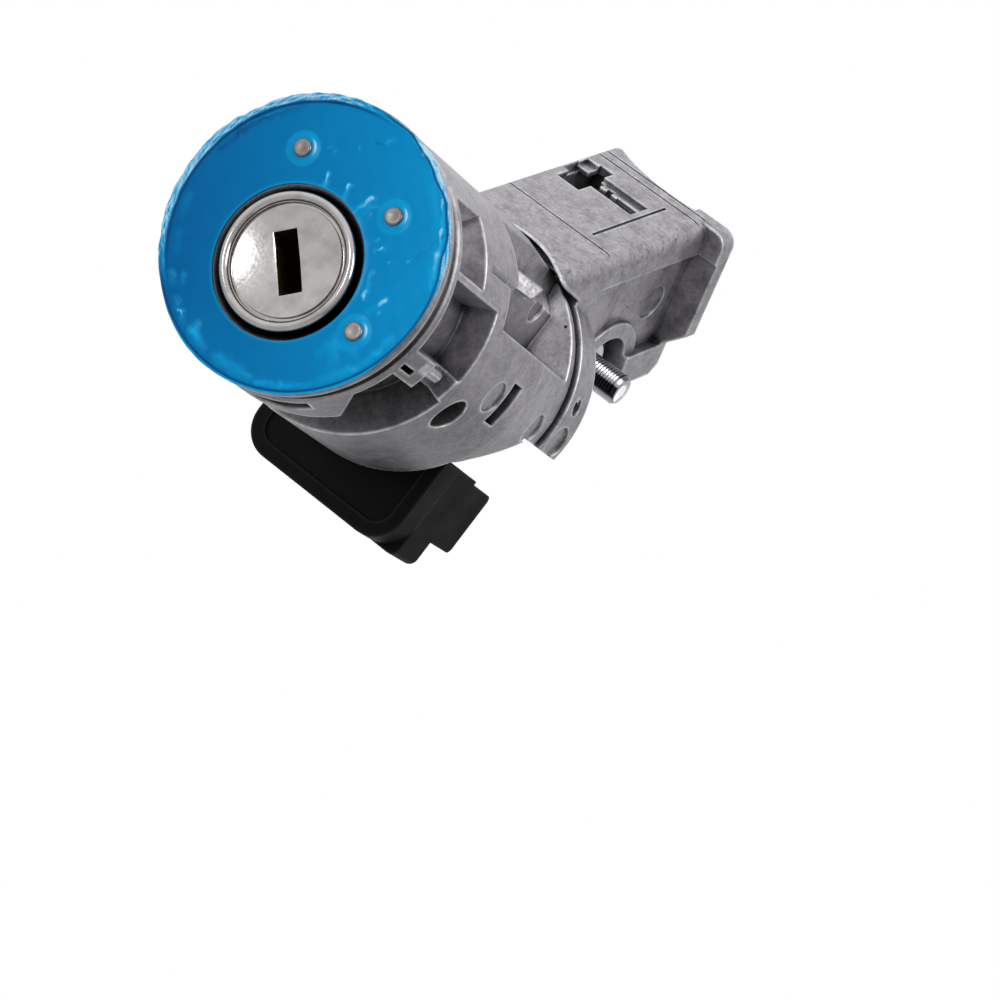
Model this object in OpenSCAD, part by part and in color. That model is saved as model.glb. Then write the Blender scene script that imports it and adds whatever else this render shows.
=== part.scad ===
// Steering-lock ignition switch: a die-cast barrel with an eccentric key plug, an inclined bolt box
// that clamps to the steering column, and a moulded electrical switch under the rear of the barrel.
// The origin is on the plug axis at the front of the head, +Y runs back along the barrel, +Z is up.

/* [Head] */
// Radius of the front rim
head_r = 20; // [19:0.25:21]
// Height of the barrel axis above the plug axis
ecc = 3.06; // [2.5:0.1:3.5]
// Thickness of the protective film on the front face
film_t = 0.3; // [0.2:0.05:0.5]
// Depth of the front rim
rim_d = 1.3; // [1:0.1:2]
// Width of the groove behind the rim
groove_w = 2.4; // [1.5:0.1:3]
// Depth of the groove behind the rim
groove_d = 0.9; // [0.5:0.1:1.4]
// Width of the second ring
ring_w = 1.2; // [0.8:0.1:2]
// Radius of the locating pins in the face
face_pin_r = 1.25; // [0.9:0.05:1.6]
// Height of the locating pins above the film
face_pin_proud = 0.5; // [0.2:0.1:1]

/* [Barrel] */
// Radius of the barrel
barrel_r = 20.4; // [20:0.1:21.5]
// Draft of the barrel's radius towards the head
draft = 0.5; // [0.2:0.1:0.7]
// End of the full round barrel, where the switch sits under it
round_end = 42.5; // [41:0.5:44]
// End of the barrel casting
barrel_end = 57.6; // [57:0.2:60]
// Radius of the barrel at its end
flange_r = 19.1; // [18.5:0.1:20]
// Thickness of the flange behind the side windows
flange_t = 2.2; // [1.6:0.1:3]
// Floor radius of the neck pockets
pocket_r = 15.2; // [14.6:0.1:16]
// Rear end of the side neck pockets
pocket_end = 21.3; // [19:0.5:22]
// Height of the ledge under the side windows
window_z = 10; // [9:0.25:11]
// Distance of the window's inner wall from the middle
window_x = 10; // [9.6:0.1:10.4]
// Front end of the side windows
window_y = 24.5; // [23:0.5:27]
// Radius of the hole in the barrel's side
side_hole_r = 2.8; // [2:0.1:3.2]
// Radius of the shallow round ejector marks
mark_r = 2.4; // [1.6:0.1:2.8]

/* [Key plug] */
// Radius of the plug in its bore
plug_r = 8; // [7.5:0.1:8.2]
// Rear end of the plug
plug_end = 38; // [37:0.25:39]
// Radius of the plug's cap
cap_r = 9.4; // [9.2:0.05:9.8]
// Wall of the cap
cap_wall = 0.7; // [0.5:0.05:0.9]
// Depth of the cap's skirt
cap_len = 5; // [4:0.25:5.2]
// Width of the dark gap round the cap
cap_gap = 0.5; // [0.35:0.05:0.7]
// Chamfer round the mouth of the plug's well
mouth = 0.5; // [0.3:0.1:0.8]
// Length of the keyway's section
key_l = 8.6; // [8:0.1:9]
// Width of the keyway's section
key_w = 3.2; // [2.6:0.1:3.4]
// Angle of the keyway below the horizontal at rest
key_angle = 45; // [30:5:60]
// Number of tumblers
tumbler_n = 8; // [6:1:9]
// Spacing of the tumblers
tumbler_pitch = 2.6; // [2.4:0.05:2.7]
// Thickness of a tumbler
tumbler_t = 0.8; // [0.6:0.05:0.9]
// Turn of the key from lock to start
key_turn = 105; // [90:5:110]
// Radius at which the crank pin turns
crank_r = 3.5; // [3.2:0.1:3.7]
// Radius of the crank pin
crank_pin_r = 1.5; // [1.2:0.1:1.6]

/* [Bolt box] */
// Slope of the bolt box above the barrel axis
tilt = 33.4; // [33:0.1:34]
// Width of the box
box_w = 21.5; // [21:0.25:23]
// Height of the box
box_h = 27.5; // [27:0.25:29]
// Length of the box from its reference edge to the middle of the saddle
box_len = 32.4; // [32:0.25:34]
// Radius of the rounded top edge on the stud's side
box_edge = 2.4; // [1.5:0.1:3]
// Radius of the rounded top edge on the far side
far_edge = 0.8; // [0.4:0.1:1.5]
// Radius of the steering column tube that the saddle fits
column_r = 26; // [24:0.5:30]
// Distance of the column's middle from the box's middle
column_x = 2; // [0:0.25:3]
// Width of the lock bolt
bolt_w = 10; // [9:0.25:10.4]
// Height of the lock bolt
bolt_h = 10; // [9.5:0.25:10.4]
// Thickness of the top wall over the mechanism
top_wall = 1.5; // [1.2:0.1:2]
// Thickness of the carrier's arm
arm_t = 3.4; // [3:0.1:3.6]
// Depth of the panel in the box's side
panel_d = 1.8; // [1.2:0.1:2.4]
// Height of the lip beside the saddle
lip_h = 3.4; // [2.5:0.1:4]
// Radius of the mounting stud
stud_r = 2.5; // [2:0.1:3]
// Free length of the mounting stud
stud_free = 6.6; // [5:0.2:8]

/* [Rear plate] */
// Radius of the plate behind the barrel
plate_r = 19.8; // [19.4:0.1:20.4]
// Width of the dark joint between the barrel and the plate
joint_w = 1; // [0.6:0.1:1.4]
// Thickness of the plate
plate_t = 6.9; // [6.5:0.1:8]
// Radius of the switch retaining pin
switch_pin_r = 1.25; // [1:0.05:1.5]

/* [Switch] */
// Front of the switch cover
cover_y = 48; // [46:0.5:49]
// Depth of the switch cover
cover_d = 5.2; // [4.5:0.1:6]
// Width of the switch
switch_w = 28.4; // [27:0.2:30]
// Top of the switch block below the plug axis
switch_top = 8.8; // [8.6:0.1:9.6]
// Height of the switch block
switch_h = 15.4; // [14.5:0.1:17]
// Rear end of the switch block
block_end = 60.5; // [60:0.25:62]
// Rear end of the connector shroud
shroud_end = 68.4; // [68:0.2:70]
// Height of the connector shroud
shroud_h = 10.2; // [9.8:0.1:11]
// Radius of the cover's lower corners
cover_corner = 5; // [4:0.25:6]
// Radius of the block's lower corners
block_corner = 1.5; // [1:0.25:3]
// Wall of the mouldings
mould_wall = 1.6; // [1.3:0.1:1.8]
// Radius of the switch hub
hub_r = 11.4; // [11.2:0.1:12]
// Radius of the rotor
rotor_r = 8; // [7.6:0.1:8.4]
// Number of connector blades
blade_n = 6; // [4:1:7]

/* [Fits] */
// Radial running clearance of turning pieces
run_gap = 0.06; // [0.03:0.01:0.1]
// Clearance between sliding or parted faces
slip_gap = 0.3; // [0.25:0.05:0.4]
// Clearance of fixed pieces in their seats
fit_gap = 0.05; // [0.02:0.01:0.1]

/* [Hidden] */
$fn = 64;
eps = 0.02;
far = 60;
zinc = "#9c9da1";
steel = "#b9bcc2";
brass = "#c2a25a";
black = "#1b1c1e";

// Head and plug places
rim_end = film_t + rim_d;
ring_start = rim_end + groove_w;
ring_end = ring_start + ring_w;
well_r = cap_r + cap_gap;
mouth_r = well_r + mouth;
film_hole_r = mouth_r + 0.1;
cap_face = -0.2;
bead_r = 0.65;
plug_head_r = cap_r - cap_wall - fit_gap;
plug_head_y = cap_face + cap_wall;
plug_head_end = cap_face + cap_len + 0.8;
well_end = plug_head_end + slip_gap;
clip_t = 0.9;
clip_y = plug_end - 2;
clip_r = plug_r + 1.6;
clip_groove_r = plug_r - 0.8;
bore_end = clip_y - 0.5;
tumbler_y = well_end + 3;
tumbler_half = 3.25;
tumbler_reach = plug_r - 0.1;
small_spring_r = 0.5;
small_spring_wire = 0.25;
small_spring_l = 4.6;
keyway_end = tumbler_y + tumbler_n*tumbler_pitch + 1;
face_pins = [[12.7, 129.4], [12.7, 49.6], [14.4, -20.5]];
face_pin_depth = 4.2;
web_r = pocket_r + 2.6;
web_y = 12.2;
band_end = 12.3;
belly_angle = 62;
side_pocket = [-6, 24.5];
upper_pocket = [27.5, 57];
belly_pocket = [-91, -16.5];
web_sector = [-18.5, 0];
catch_slot = [-15.2, -12.8];
stop_pin_angle = 10;
stop_pin_r = 1;
stop_pin_at = web_r + stop_pin_r;
stop_pin_y = web_y - 2.5;
stop_pin_end = web_y + 4.6;
crown_front = barrel_r - 0.55;
crown_rear = barrel_r - 0.9;
tongue = 3.5;

// Driver, cavity and carrier places
driver_t = 3;
driver_r = plug_r - 1;
driver_end = plug_end + driver_t;
driver_key = 5;
driver_key_d = 4;
cavity_r = clip_r + 1.4;
cavity_y = driver_end + 2.8;
yoke_t = 3;
travel = crank_r*(1 - cos(key_turn))/sin(tilt);
yoke_y = cavity_y + 1.2 + travel*cos(tilt);
yoke_end = yoke_y + yoke_t;
slot_under = crank_pin_r + slip_gap;
slot_over = crank_pin_r + 0.32*crank_r;
slot_half = crank_r + crank_pin_r + slip_gap;
yoke_half = slot_half + 1.3;
yoke_low = crank_r - slot_under - 1.7;
cavity_half = yoke_half + slip_gap + 0.1;
keel_half = cavity_half + 3;
keel_low = switch_top - 0.8;
cavity_low = keel_low - 2;

// Bolt box places, measured back (b), across (x) and down (c) from its reference edge
box_y = 55;
box_z = 24.58;
box_half = box_w/2;
arm_c = 3.4 + top_wall;
arm_end_c = arm_c + arm_t;
arm_half = bolt_w/2 - 0.2;
arm_b = (yoke_y - box_y - arm_c*sin(tilt))/cos(tilt);
bolt_c = arm_end_c + slip_gap;
bolt_mid = bolt_c + bolt_h/2;
bolt_b = 12.5;
bolt_reach = box_len + travel;
bolt_bore_r = 3.2;
bolt_bore_end = bolt_b + 17;
chamber_b = bolt_b - travel - 0.6;
notch_b = bolt_b + 4;
notch_l = 4;
hook_d = 1.5;
saddle_b = box_len + column_r;
stud_b = 17.4;
stud_c = 23.6;
stud_seat_r = 6.2;
stud_seat_x = bolt_w/2 + slip_gap + 1;
collar_t = 1.5;
stud_start = stud_seat_x + collar_t;
panel_x = box_half - panel_d;
panel_b = [5, box_len - 0.3];
panel_slope = 11;
lip_x = box_half + lip_h;
lip_corner = 2.4;
lip_c = [0.2, 18.2];
lip_foot = 4;
far_corner_b = saddle_b - sqrt(pow(column_r, 2) - pow(box_half + column_x, 2));
near_corner_b = saddle_b - sqrt(pow(column_r, 2) - pow(box_half - column_x, 2));
slot_b = [20.3, 23.1];
slot_x = [-box_half + 0.4, 3.3];
ledge_d = 0.7;
panel_c = [5, 22];
cover_t = 0.8;
cover_b = [8, 30];
cover_c = [5, 21];
window_b = [10, 28];
spring_wire = 0.7;
spring_r = bolt_bore_r - spring_wire/2 - slip_gap;

// Rear plate and switch places
plate_y = barrel_end + joint_w;
plate_end = plate_y + plate_t;
plate_low = 0.3;
spigot_r = plate_r - 1.6;
spigot_top = ecc + spigot_r + eps;
arch_r = hub_r + slip_gap + 0.1;
screw_x = 16;
screw_z = 4.4;
screw_r = 1.5;
screw_hold = 8;
switch_half = switch_w/2;
switch_low = switch_top + switch_h;
cover_end = cover_y + cover_d;
cover_rim = 2.2;
cover_recess = 0.4;
shroud_drop = 0.7;
shroud_corner = 1;
shroud_low = switch_top + shroud_drop + shroud_h;
cap_y = yoke_end + 1.4;
hub_y = cap_y + 1.3;
hub_cavity_r = rotor_r + slip_gap;
rotor_y = hub_y + slip_gap;
rotor_end = rotor_y + 5;
bridge_t = 0.5;
hub_floor = rotor_end + bridge_t + 0.4;
hub_end = hub_floor + 2;
crank_end = rotor_y + 2.4;
hub_pin_r = 2;
switch_pin_z = ecc + plate_r*sin(15);
switch_pin_y = plate_y + 0.45*plate_t;
socket_y = block_end + 0.5;
blade_end = shroud_end - 4.2;
blade_start = block_end - 2;
blade_w = 2.2;
blade_t = 0.8;
blade_pitch = (switch_w - 6)/blade_n;
crank_play = 1.5;

// Turns local Z to +Y, at height z
module on_y(z = 0) {
  translate([0, 0, z]) rotate([-90, 0, 0]) children();
}

// Round bar along Y
module bar_y(r, y0, y1, z = 0) {
  on_y(z) translate([0, 0, y0]) cylinder(r = r, h = y1 - y0);
}

// Ring sector about the barrel axis, from angle a0 to a1 above +X
module sector(r0, r1, y0, y1, a0, a1) {
  on_y(ecc) rotate([0, 0, -a1]) rotate_extrude(angle = a1 - a0) translate([r0, y0]) square([r1 - r0, y1 - y0]);
}

// Places children on the barrel's side, local Z pointing out
module radial(y, a) {
  translate([0, y, ecc]) rotate([0, 90 - a, 0]) children();
}

// Extrudes a (y, z) outline from x0 to x1
module along_x(x0, x1) {
  translate([x0, 0, 0]) rotate([90, 0, 90]) linear_extrude(x1 - x0) children();
}

// Both sides of the middle plane
module both_sides() {
  for (side = [0, 1]) mirror([side, 0, 0]) children();
}

// The bolt box's own frame: local Y runs along the bolt, local -Z down into the box
module in_box() {
  translate([0, box_y, box_z]) rotate([tilt, 0, 0]) children();
}

module box_block(x, b, c) {
  in_box() translate([x[0], b[0], -c[1]]) cube([x[1] - x[0], b[1] - b[0], c[1] - c[0]]);
}

// Extrudes an (x, c) outline along the bolt
module along_bolt(b0, b1) {
  in_box() translate([0, b0, 0]) rotate([-90, 0, 0]) linear_extrude(b1 - b0) children();
}

// Round bar across the box at (b, c)
module bar_x(r, b, c, x0, x1) {
  in_box() translate([x0, b, -c]) rotate([0, 90, 0]) cylinder(r = r, h = x1 - x0);
}

// The plug's own frame: local X along the keyway's section
module in_plug() {
  rotate([0, key_angle, 0]) children();
}

// Coil spring along local Z: points on a helix, swept by a polygon section
module coil(r, wire, length, turns, steps = 12, sides = 6) {
  n = turns*steps;
  ring = [for (i = [0:n]) for (j = [0:sides - 1])
    let (a = 360*i/steps, q = 360*j/sides, rr = r + wire/2*cos(q))
    [rr*cos(a), rr*sin(a), wire/2 + (length - wire)*i/n + wire/2*sin(q)]];
  walls = [for (i = [0:n - 1]) for (j = [0:sides - 1])
    let (k = (j + 1)%sides)
    [i*sides + j, i*sides + k, (i + 1)*sides + k, (i + 1)*sides + j]];
  ends = [[for (j = [sides - 1:-1:0]) j], [for (j = [0:sides - 1]) n*sides + j]];
  polyhedron(ring, concat(walls, ends));
}

// Barrel outline, turned about the barrel axis; grow is the play of what lies over it
module barrel_turned(grow = 0) {
  on_y(ecc) rotate_extrude($fn = 96) polygon([
    [0, film_t], [head_r - 0.4, film_t], [head_r, film_t + 0.4], [head_r, rim_end],
    [head_r - groove_d, rim_end], [head_r - groove_d, ring_start], [barrel_r - draft - 0.3, ring_start],
    [barrel_r - draft + grow, ring_start + 0.3], [barrel_r + grow, round_end],
    [flange_r + grow, barrel_end], [0, barrel_end]
  ]);
}

// What is cut off under the rear of the barrel: a slope on each side of the keel
module rear_undercut() {
  both_sides() along_x(keel_half, far) polygon([
    [round_end, -far], [round_end, -8.6], [barrel_end - 3.6, plate_low], [far, plate_low], [far, -far]
  ]);
  translate([-keel_half - eps, round_end, -far]) cube([2*keel_half + 2*eps, far, far - keel_low]);
}

// What is taken off along the top of the barrel
module crown_cut() {
  along_x(-far, far) polygon([
    [ring_end, ecc + crown_front], [round_end - 6, ecc + crown_front], [round_end, ecc + crown_rear],
    [barrel_end + 1, ecc + crown_rear], [barrel_end + 1, far], [ring_end, far]
  ]);
}

// Pockets in the neck on one side: two beside the plug and one underneath
module neck_pockets() {
  on_y(ecc) rotate([0, 0, -side_pocket[1]]) rotate_extrude(angle = side_pocket[1] - side_pocket[0]) polygon([
    [pocket_r - 2.4, ring_end], [pocket_r, 10], [pocket_r, pocket_end],
    [far, pocket_end], [far, ring_end]
  ]);
  sector(pocket_r - 1, far, ring_end, pocket_end - 6.5, upper_pocket[0], upper_pocket[1]);
  difference() {
    sector(pocket_r - 1, far, ring_end, pocket_end + 0.5, belly_pocket[0], belly_pocket[1]);
    on_belly() polygon([[0, 8.8], [ring_end + 0.4, 8.8], [band_end, 4.8], [band_end, -far], [0, -far]]);
    sector(0, far, 0, web_y, web_sector[0], web_sector[1]);
  }
  intersection() {
    sector(barrel_r - 4, far, ring_end, far, belly_pocket[0], 0);
    on_belly() polygon([[0, 3.5], [8.2, 2.6], [9.4, -1.6], [9.4, -far], [0, -far]]);
  }
  sector(web_r, far, web_y, pocket_end - 0.6, -18, -5);
  sector(barrel_r - 3, far, ring_end, web_y - 3, catch_slot[0], catch_slot[1]);
}

// Prism cut inwards from the barrel's lower side, from an outline of (y, distance round the side)
module on_belly() {
  translate([0, 0, ecc]) rotate([0, belly_angle, 0]) rotate([90, 0, 90])
    linear_extrude(far) children();
}

// Window in the barrel's side in front of the flange
module side_window() {
  end = barrel_end - flange_t;
  translate([window_x, window_y, window_z]) cube([far, end - window_y, 5.5]);
  along_y(window_y + tongue, end) polygon([
    [far, window_z + 5], [window_x, window_z + 5], [window_x, window_z + 6.4], [window_x - 2.1, window_z + 8.2],
    [window_x - 2.6, window_z + 11.5], [window_x - 2.6, far], [far, far]
  ]);
  translate([barrel_r - 5, window_y - 7.5, window_z + 5]) cube([far, 11.5, 1.3]);
  translate([window_x - 0.5, end - 5.2, window_z + 5.6]) rotate([0, 90, 0]) cylinder(r = 1.9, h = 2);
}

// Holes and shallow marks on the barrel's side
module side_marks() {
  radial(27, -18.5) translate([0, 0, 11]) cylinder(r = side_hole_r, h = far);
  radial(33, -2.5) translate([0, 0, barrel_r - 0.5]) cylinder(r = mark_r, h = far);
  radial(barrel_end - 5, -3) translate([0, 0, flange_r - 0.2]) cylinder(r = mark_r, h = far);
  radial(37.5, -2.5) translate([-3.3, -1.6, barrel_r - 4]) cube([6.6, 3.2, far]);
}

// Room for the yoke, the arm and the crank pin in the rear of the barrel
module yoke_cavity() {
  intersection() {
    translate([-cavity_half, cavity_y, -cavity_low]) cube([2*cavity_half, far, far]);
    box_block([-far, far], [-far, far], [arm_c - slip_gap - 0.1, 2*far]);
  }
}

module barrel_housing() {
  color(zinc) difference() {
    barrel_turned();
    rear_undercut();
    crown_cut();
    both_sides() neck_pockets();
    both_sides() side_window();
    both_sides() side_marks();
    bar_y(well_r, -1, well_end);
    on_y() translate([0, 0, film_t]) cylinder(r1 = mouth_r, r2 = well_r, h = mouth);
    bar_y(plug_r + run_gap, 0, bore_end + eps);
    in_plug() translate([-plug_r - 1.3, well_end, -tumbler_half - 0.4])
      cube([2*plug_r + 2.6, bore_end - well_end, 2*tumbler_half + 0.8]);
    bar_y(cavity_r, bore_end, cavity_y + eps);
    yoke_cavity();
    bar_y(arch_r, cap_y - slip_gap, barrel_end + 1);
    for (pin = face_pins) on_y(ecc) rotate([0, 0, -pin[1]]) translate([pin[0], 0, 0])
      cylinder(r = face_pin_r, h = face_pin_depth, $fn = 32);
    stop_pin_bar();
    for (x = [-screw_x, screw_x]) translate([x, 0, 0])
      bar_y(screw_r, barrel_end - screw_hold, barrel_end + 1, screw_z);
  }
}

module protective_film() {
  color("#0b86c9") difference() {
    bar_y(head_r - 0.05, 0, film_t, ecc);
    bar_y(film_hole_r, -1, 1);
    for (pin = face_pins) on_y(ecc) rotate([0, 0, -pin[1]]) translate([pin[0], 0, -1])
      cylinder(r = face_pin_r + fit_gap, h = 2, $fn = 32);
  }
}

// Steel pins pressed into the head's face
module locating_pins() {
  color(steel) for (pin = face_pins) on_y(ecc) rotate([0, 0, -pin[1]]) translate([pin[0], 0, -face_pin_proud])
    cylinder(r = face_pin_r, h = face_pin_depth + face_pin_proud, $fn = 32);
}

// Small steel pin in the web between the side and bottom pockets
module stop_pin_bar() {
  on_y(ecc) rotate([0, 0, stop_pin_angle]) translate([stop_pin_at, 0, stop_pin_y])
    cylinder(r = stop_pin_r, h = stop_pin_end - stop_pin_y, $fn = 32);
}

module stop_pin() {
  color(steel) stop_pin_bar();
}

// Chromed cap: dished face, raised bead and skirt round the plug's head
module plug_cap() {
  color("#d8d9db") difference() {
    on_y() rotate_extrude($fn = 96) difference() {
      union() {
        translate([0, cap_face]) square([cap_r, cap_wall]);
        translate([cap_r - cap_wall, cap_face]) square([cap_wall, cap_len]);
        translate([cap_r - bead_r, cap_face]) circle(r = bead_r, $fn = 32);
      }
      translate([cap_r - 1.9, cap_face - 1]) square([0.35, 1.3]);
      translate([-eps, cap_face - 1]) square([cap_r - 2.6, 1.15]);
      translate([-eps, cap_face + cap_wall]) square([cap_r - cap_wall + eps, 1]);
    }
    in_plug() translate([-key_l/2, -far/2, -key_w/2]) cube([key_l, far, key_w]);
  }
}

module lock_plug() {
  color(brass) difference() {
    union() {
      bar_y(plug_head_r, plug_head_y, plug_head_end);
      bar_y(plug_r, plug_head_end - 1, plug_end);
    }
    in_plug() translate([-key_l/2, -far/2, -key_w/2]) cube([key_l, far/2 + keyway_end, key_w]);
    for (i = [0:tumbler_n - 1]) in_plug() translate([0, tumbler_y + i*tumbler_pitch, 0]) tumbler_slot();
    difference() {
      bar_y(plug_r + 1, clip_y - fit_gap, clip_y + clip_t + fit_gap);
      bar_y(clip_groove_r, 0, plug_end);
    }
    translate([-driver_key/2 - fit_gap, plug_end - driver_key_d - fit_gap, -driver_key/2 - fit_gap])
      cube([driver_key + 2*fit_gap, far, driver_key + 2*fit_gap]);
  }
}

// Slot for one tumbler and its spring
module tumbler_slot() {
  translate([-far/2, -0.1, -tumbler_half - 0.1]) cube([far, tumbler_t + 0.2, 2*tumbler_half + 0.2]);
  translate([-2.7, tumbler_t/2 - 0.75, 0]) cube([5.7, 1.5, 5.6]);
}

// Flat wafers with a window for the key and an ear for the spring, drawn in to the shear line
module tumblers() {
  color(brass) for (i = [0:tumbler_n - 1]) in_plug() translate([0, tumbler_y + i*tumbler_pitch, 0]) difference() {
    union() {
      intersection() {
        bar_y(tumbler_reach, 0, tumbler_t);
        translate([-far/2, 0, -tumbler_half]) cube([far, tumbler_t, 2*tumbler_half]);
      }
      translate([-2.6, 0, tumbler_half - 1]) cube([1, tumbler_t, 3.1]);
    }
    translate([-key_l/2 - 0.4, -1, -key_w/2 - 0.2]) cube([key_l + 0.8, 3, key_w + 0.4]);
  }
}

module tumbler_springs() {
  color(steel) for (i = [0:tumbler_n - 1]) in_plug()
    translate([-1.6, tumbler_y + i*tumbler_pitch + tumbler_t/2, tumbler_half + 1.2])
    rotate([0, 90, 0]) coil(small_spring_r, small_spring_wire, small_spring_l, 4, 6, 3);
}

// Open ring that holds the plug in its bore
module plug_clip() {
  color(steel) difference() {
    bar_y(clip_r, clip_y, clip_y + clip_t);
    bar_y(clip_groove_r + fit_gap, 0, plug_end);
    translate([-3.5, 0, -far]) cube([7, plug_end, far]);
  }
}

// Driver behind the plug: square key, disc, and the crank pin that works the bolt and the switch
module plug_driver() {
  color(steel) {
    translate([-driver_key/2, plug_end - driver_key_d, -driver_key/2])
      cube([driver_key, driver_key_d + 1, driver_key]);
    bar_y(driver_r, plug_end, driver_end);
    bar_y(crank_pin_r, driver_end - 1, crank_end, crank_r);
  }
}

// Box section with rounded top edges
module box_section() {
  translate([-box_half + far_edge, 0]) square([box_w - far_edge - box_edge, box_h]);
  translate([-box_half, box_edge]) square([box_w, box_h - box_edge]);
  translate([-box_half, far_edge]) square([box_half, box_h - far_edge]);
  translate([-box_half + far_edge, far_edge]) circle(r = far_edge);
  translate([box_half - box_edge, box_edge]) circle(r = box_edge);
}

// Extrudes an (x, b) outline down through the box from c0 to c1
module down_box(c0, c1) {
  in_box() translate([0, 0, -c1]) linear_extrude(c1 - c0) children();
}

// Lip beside the saddle on the stud's side
module saddle_lip() {
  along_bolt(box_len - 1, box_len + 2) {
    polygon([
      [6.5, lip_c[0]], [lip_x - lip_corner, lip_c[0]], [lip_x, lip_c[0] + lip_corner], [lip_x, lip_c[1]],
      [box_half - 0.5, lip_c[1] + lip_foot], [6.5, lip_c[1] + lip_foot]
    ]);
    translate([lip_x - lip_corner, lip_c[0] + lip_corner]) circle(r = lip_corner);
  }
}

// Corners of the saddle's ends
module saddle_corners() {
  down_box(-far, far) polygon([
    [-far, far_corner_b - 1.9], [-box_half - eps, far_corner_b - 1.9], [-box_half + 0.35, far_corner_b - 1.1],
    [-box_half + 1.1, far_corner_b - 0.55], [-box_half + 2, far_corner_b - 0.6],
    [-box_half + 2, far_corner_b + far], [-far, far_corner_b + far]
  ]);
  in_box() translate([0, near_corner_b, -box_h]) rotate([45, 0, 0]) cube([2*far, 2.2, 2.2], center = true);
}

// Lines and the cross-shaped opening in the top wall, with a lower ledge along its rear edge
module top_cuts() {
  cut = [-1, top_wall + eps];
  box_block(slot_x, slot_b, cut);
  box_block([slot_x[0], -4.5], [slot_b[0], 24.5], cut);
  box_block([-8.9, -4.6], [17.2, slot_b[1]], cut);
  box_block([-7.9, -5.3], slot_b + [0, 4.3], cut);
  box_block([-3.4, -2.3], slot_b + [0, 1], cut);
  box_block([-1.3, slot_x[1]], slot_b + [0, 0.35], cut);
  box_block([-5.4, slot_x[1]], slot_b + [0, 1.8], [-1, ledge_d]);
  box_block([slot_x[0] + 0.3, -7.8], slot_b + [0, 3.6], [-1, ledge_d]);
  box_block([-box_half + 1.2, 6], [15.5, 29.5], [top_wall, bolt_c]);
  box_block([-far, far], [7, 7.35], [-1, 0.2]);
  box_block([4.2, 4.7], [9, 28], [-1, 0.35]);
  for (b = [29.8, box_len - 0.5]) box_block([-far, far], [b, b + 0.4], [-1, 0.25]);
}

// Panel, stud seat and ejector mark in the box's side
module side_cuts() {
  difference() {
    down_box(panel_c[0], panel_c[1]) polygon([
      [far, panel_b[0]], [box_half, panel_b[0]], [panel_x, panel_b[0] + panel_slope], [panel_x, panel_b[1]],
      [far, panel_b[1]]
    ]);
    bar_x(stud_seat_r + 2.6, stud_b, stud_c, 0, panel_x + 0.9);
  }
  bar_x(stud_seat_r, stud_b, stud_c, stud_seat_x, far);
  bar_x(stud_r - 0.3, stud_b, stud_c, -1, far);
  bar_x(mark_r + 0.4, 27, 13.8, panel_x - 0.35, far);
}

// Room for the arm, the bolt, the spring and the side window
module bolt_chamber() {
  box_block([-arm_half - slip_gap - 0.2, arm_half + slip_gap + 0.2], [-far, notch_b + notch_l + 1],
    [arm_c - slip_gap - 0.1, bolt_c + eps]);
  box_block([-bolt_w/2 - slip_gap, bolt_w/2 + slip_gap], [chamber_b, far],
    [arm_end_c, bolt_c + bolt_h + slip_gap]);
  box_block([-far, 0], window_b, [cover_c[0] + 2, cover_c[1] - 3]);
  box_block([-far, -box_half + cover_t + fit_gap], [cover_b[0] - fit_gap, cover_b[1] + fit_gap],
    [cover_c[0] - fit_gap, cover_c[1] + fit_gap]);
}

module lock_body() {
  color(zinc) difference() {
    union() {
      intersection() {
        union() {
          bar_y(plate_r, plate_y, plate_end, ecc);
          bar_y(spigot_r, barrel_end, plate_end, ecc);
        }
        translate([-far, 0, plate_low]) cube([2*far, far + plate_end, far]);
      }
      difference() {
        along_bolt(-8, box_len + 4) box_section();
        in_box() translate([column_x, saddle_b, -far]) cylinder(r = column_r, h = 2*far, $fn = 96);
        saddle_corners();
        barrel_turned(slip_gap + 0.2);
        bar_y(far, 0, plate_y - 8, ecc);
        difference() {
          bar_y(plate_r + 0.6, 0, plate_y, ecc);
          bar_y(spigot_r, 0, far + plate_y, ecc);
        }
      }
      saddle_lip();
    }
    bar_y(arch_r, 0, hub_end + slip_gap + 0.1);
    translate([-cavity_half, barrel_end - 1, arch_r/2])
      cube([2*cavity_half, joint_w + 1, spigot_top - arch_r/2]);
    top_cuts();
    side_cuts();
    bolt_chamber();
    translate([0, switch_pin_y, switch_pin_z]) rotate([0, 90, 0]) cylinder(r = switch_pin_r, h = far, $fn = 32);
    radial(plate_y + 3.4, -2) translate([0, 0, plate_r - 0.6]) cylinder(r = mark_r + 0.3, h = far);
    for (x = [-screw_x, screw_x]) translate([x, 0, 0]) {
      bar_y(screw_r, 0, far + plate_end, screw_z);
      bar_y(2*screw_r, plate_end - 2, far + plate_end, screw_z);
    }
  }
}

// Stamped cover over the assembly window in the far side of the box
module side_cover() {
  color(steel) box_block([-box_half, -box_half + cover_t], cover_b, cover_c);
}

// Slider: an arm over the bolt, a hook in its notch and the yoke round the crank pin
module bolt_carrier() {
  color(steel) {
    difference() {
      translate([-yoke_half, yoke_y, yoke_low]) cube([2*yoke_half, yoke_t, box_z - 9 - yoke_low]);
      translate([-slot_half, yoke_y - 1, crank_r - slot_under])
        cube([2*slot_half, yoke_t + 2, slot_under + slot_over]);
    }
    box_block([-arm_half, arm_half], [arm_b, notch_b + notch_l - 0.15], [arm_c, arm_end_c]);
    box_block([-arm_half, arm_half], [notch_b + 0.15, notch_b + notch_l - 0.15],
      [arm_c + 1, bolt_c + hook_d - 0.15]);
  }
}

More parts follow.
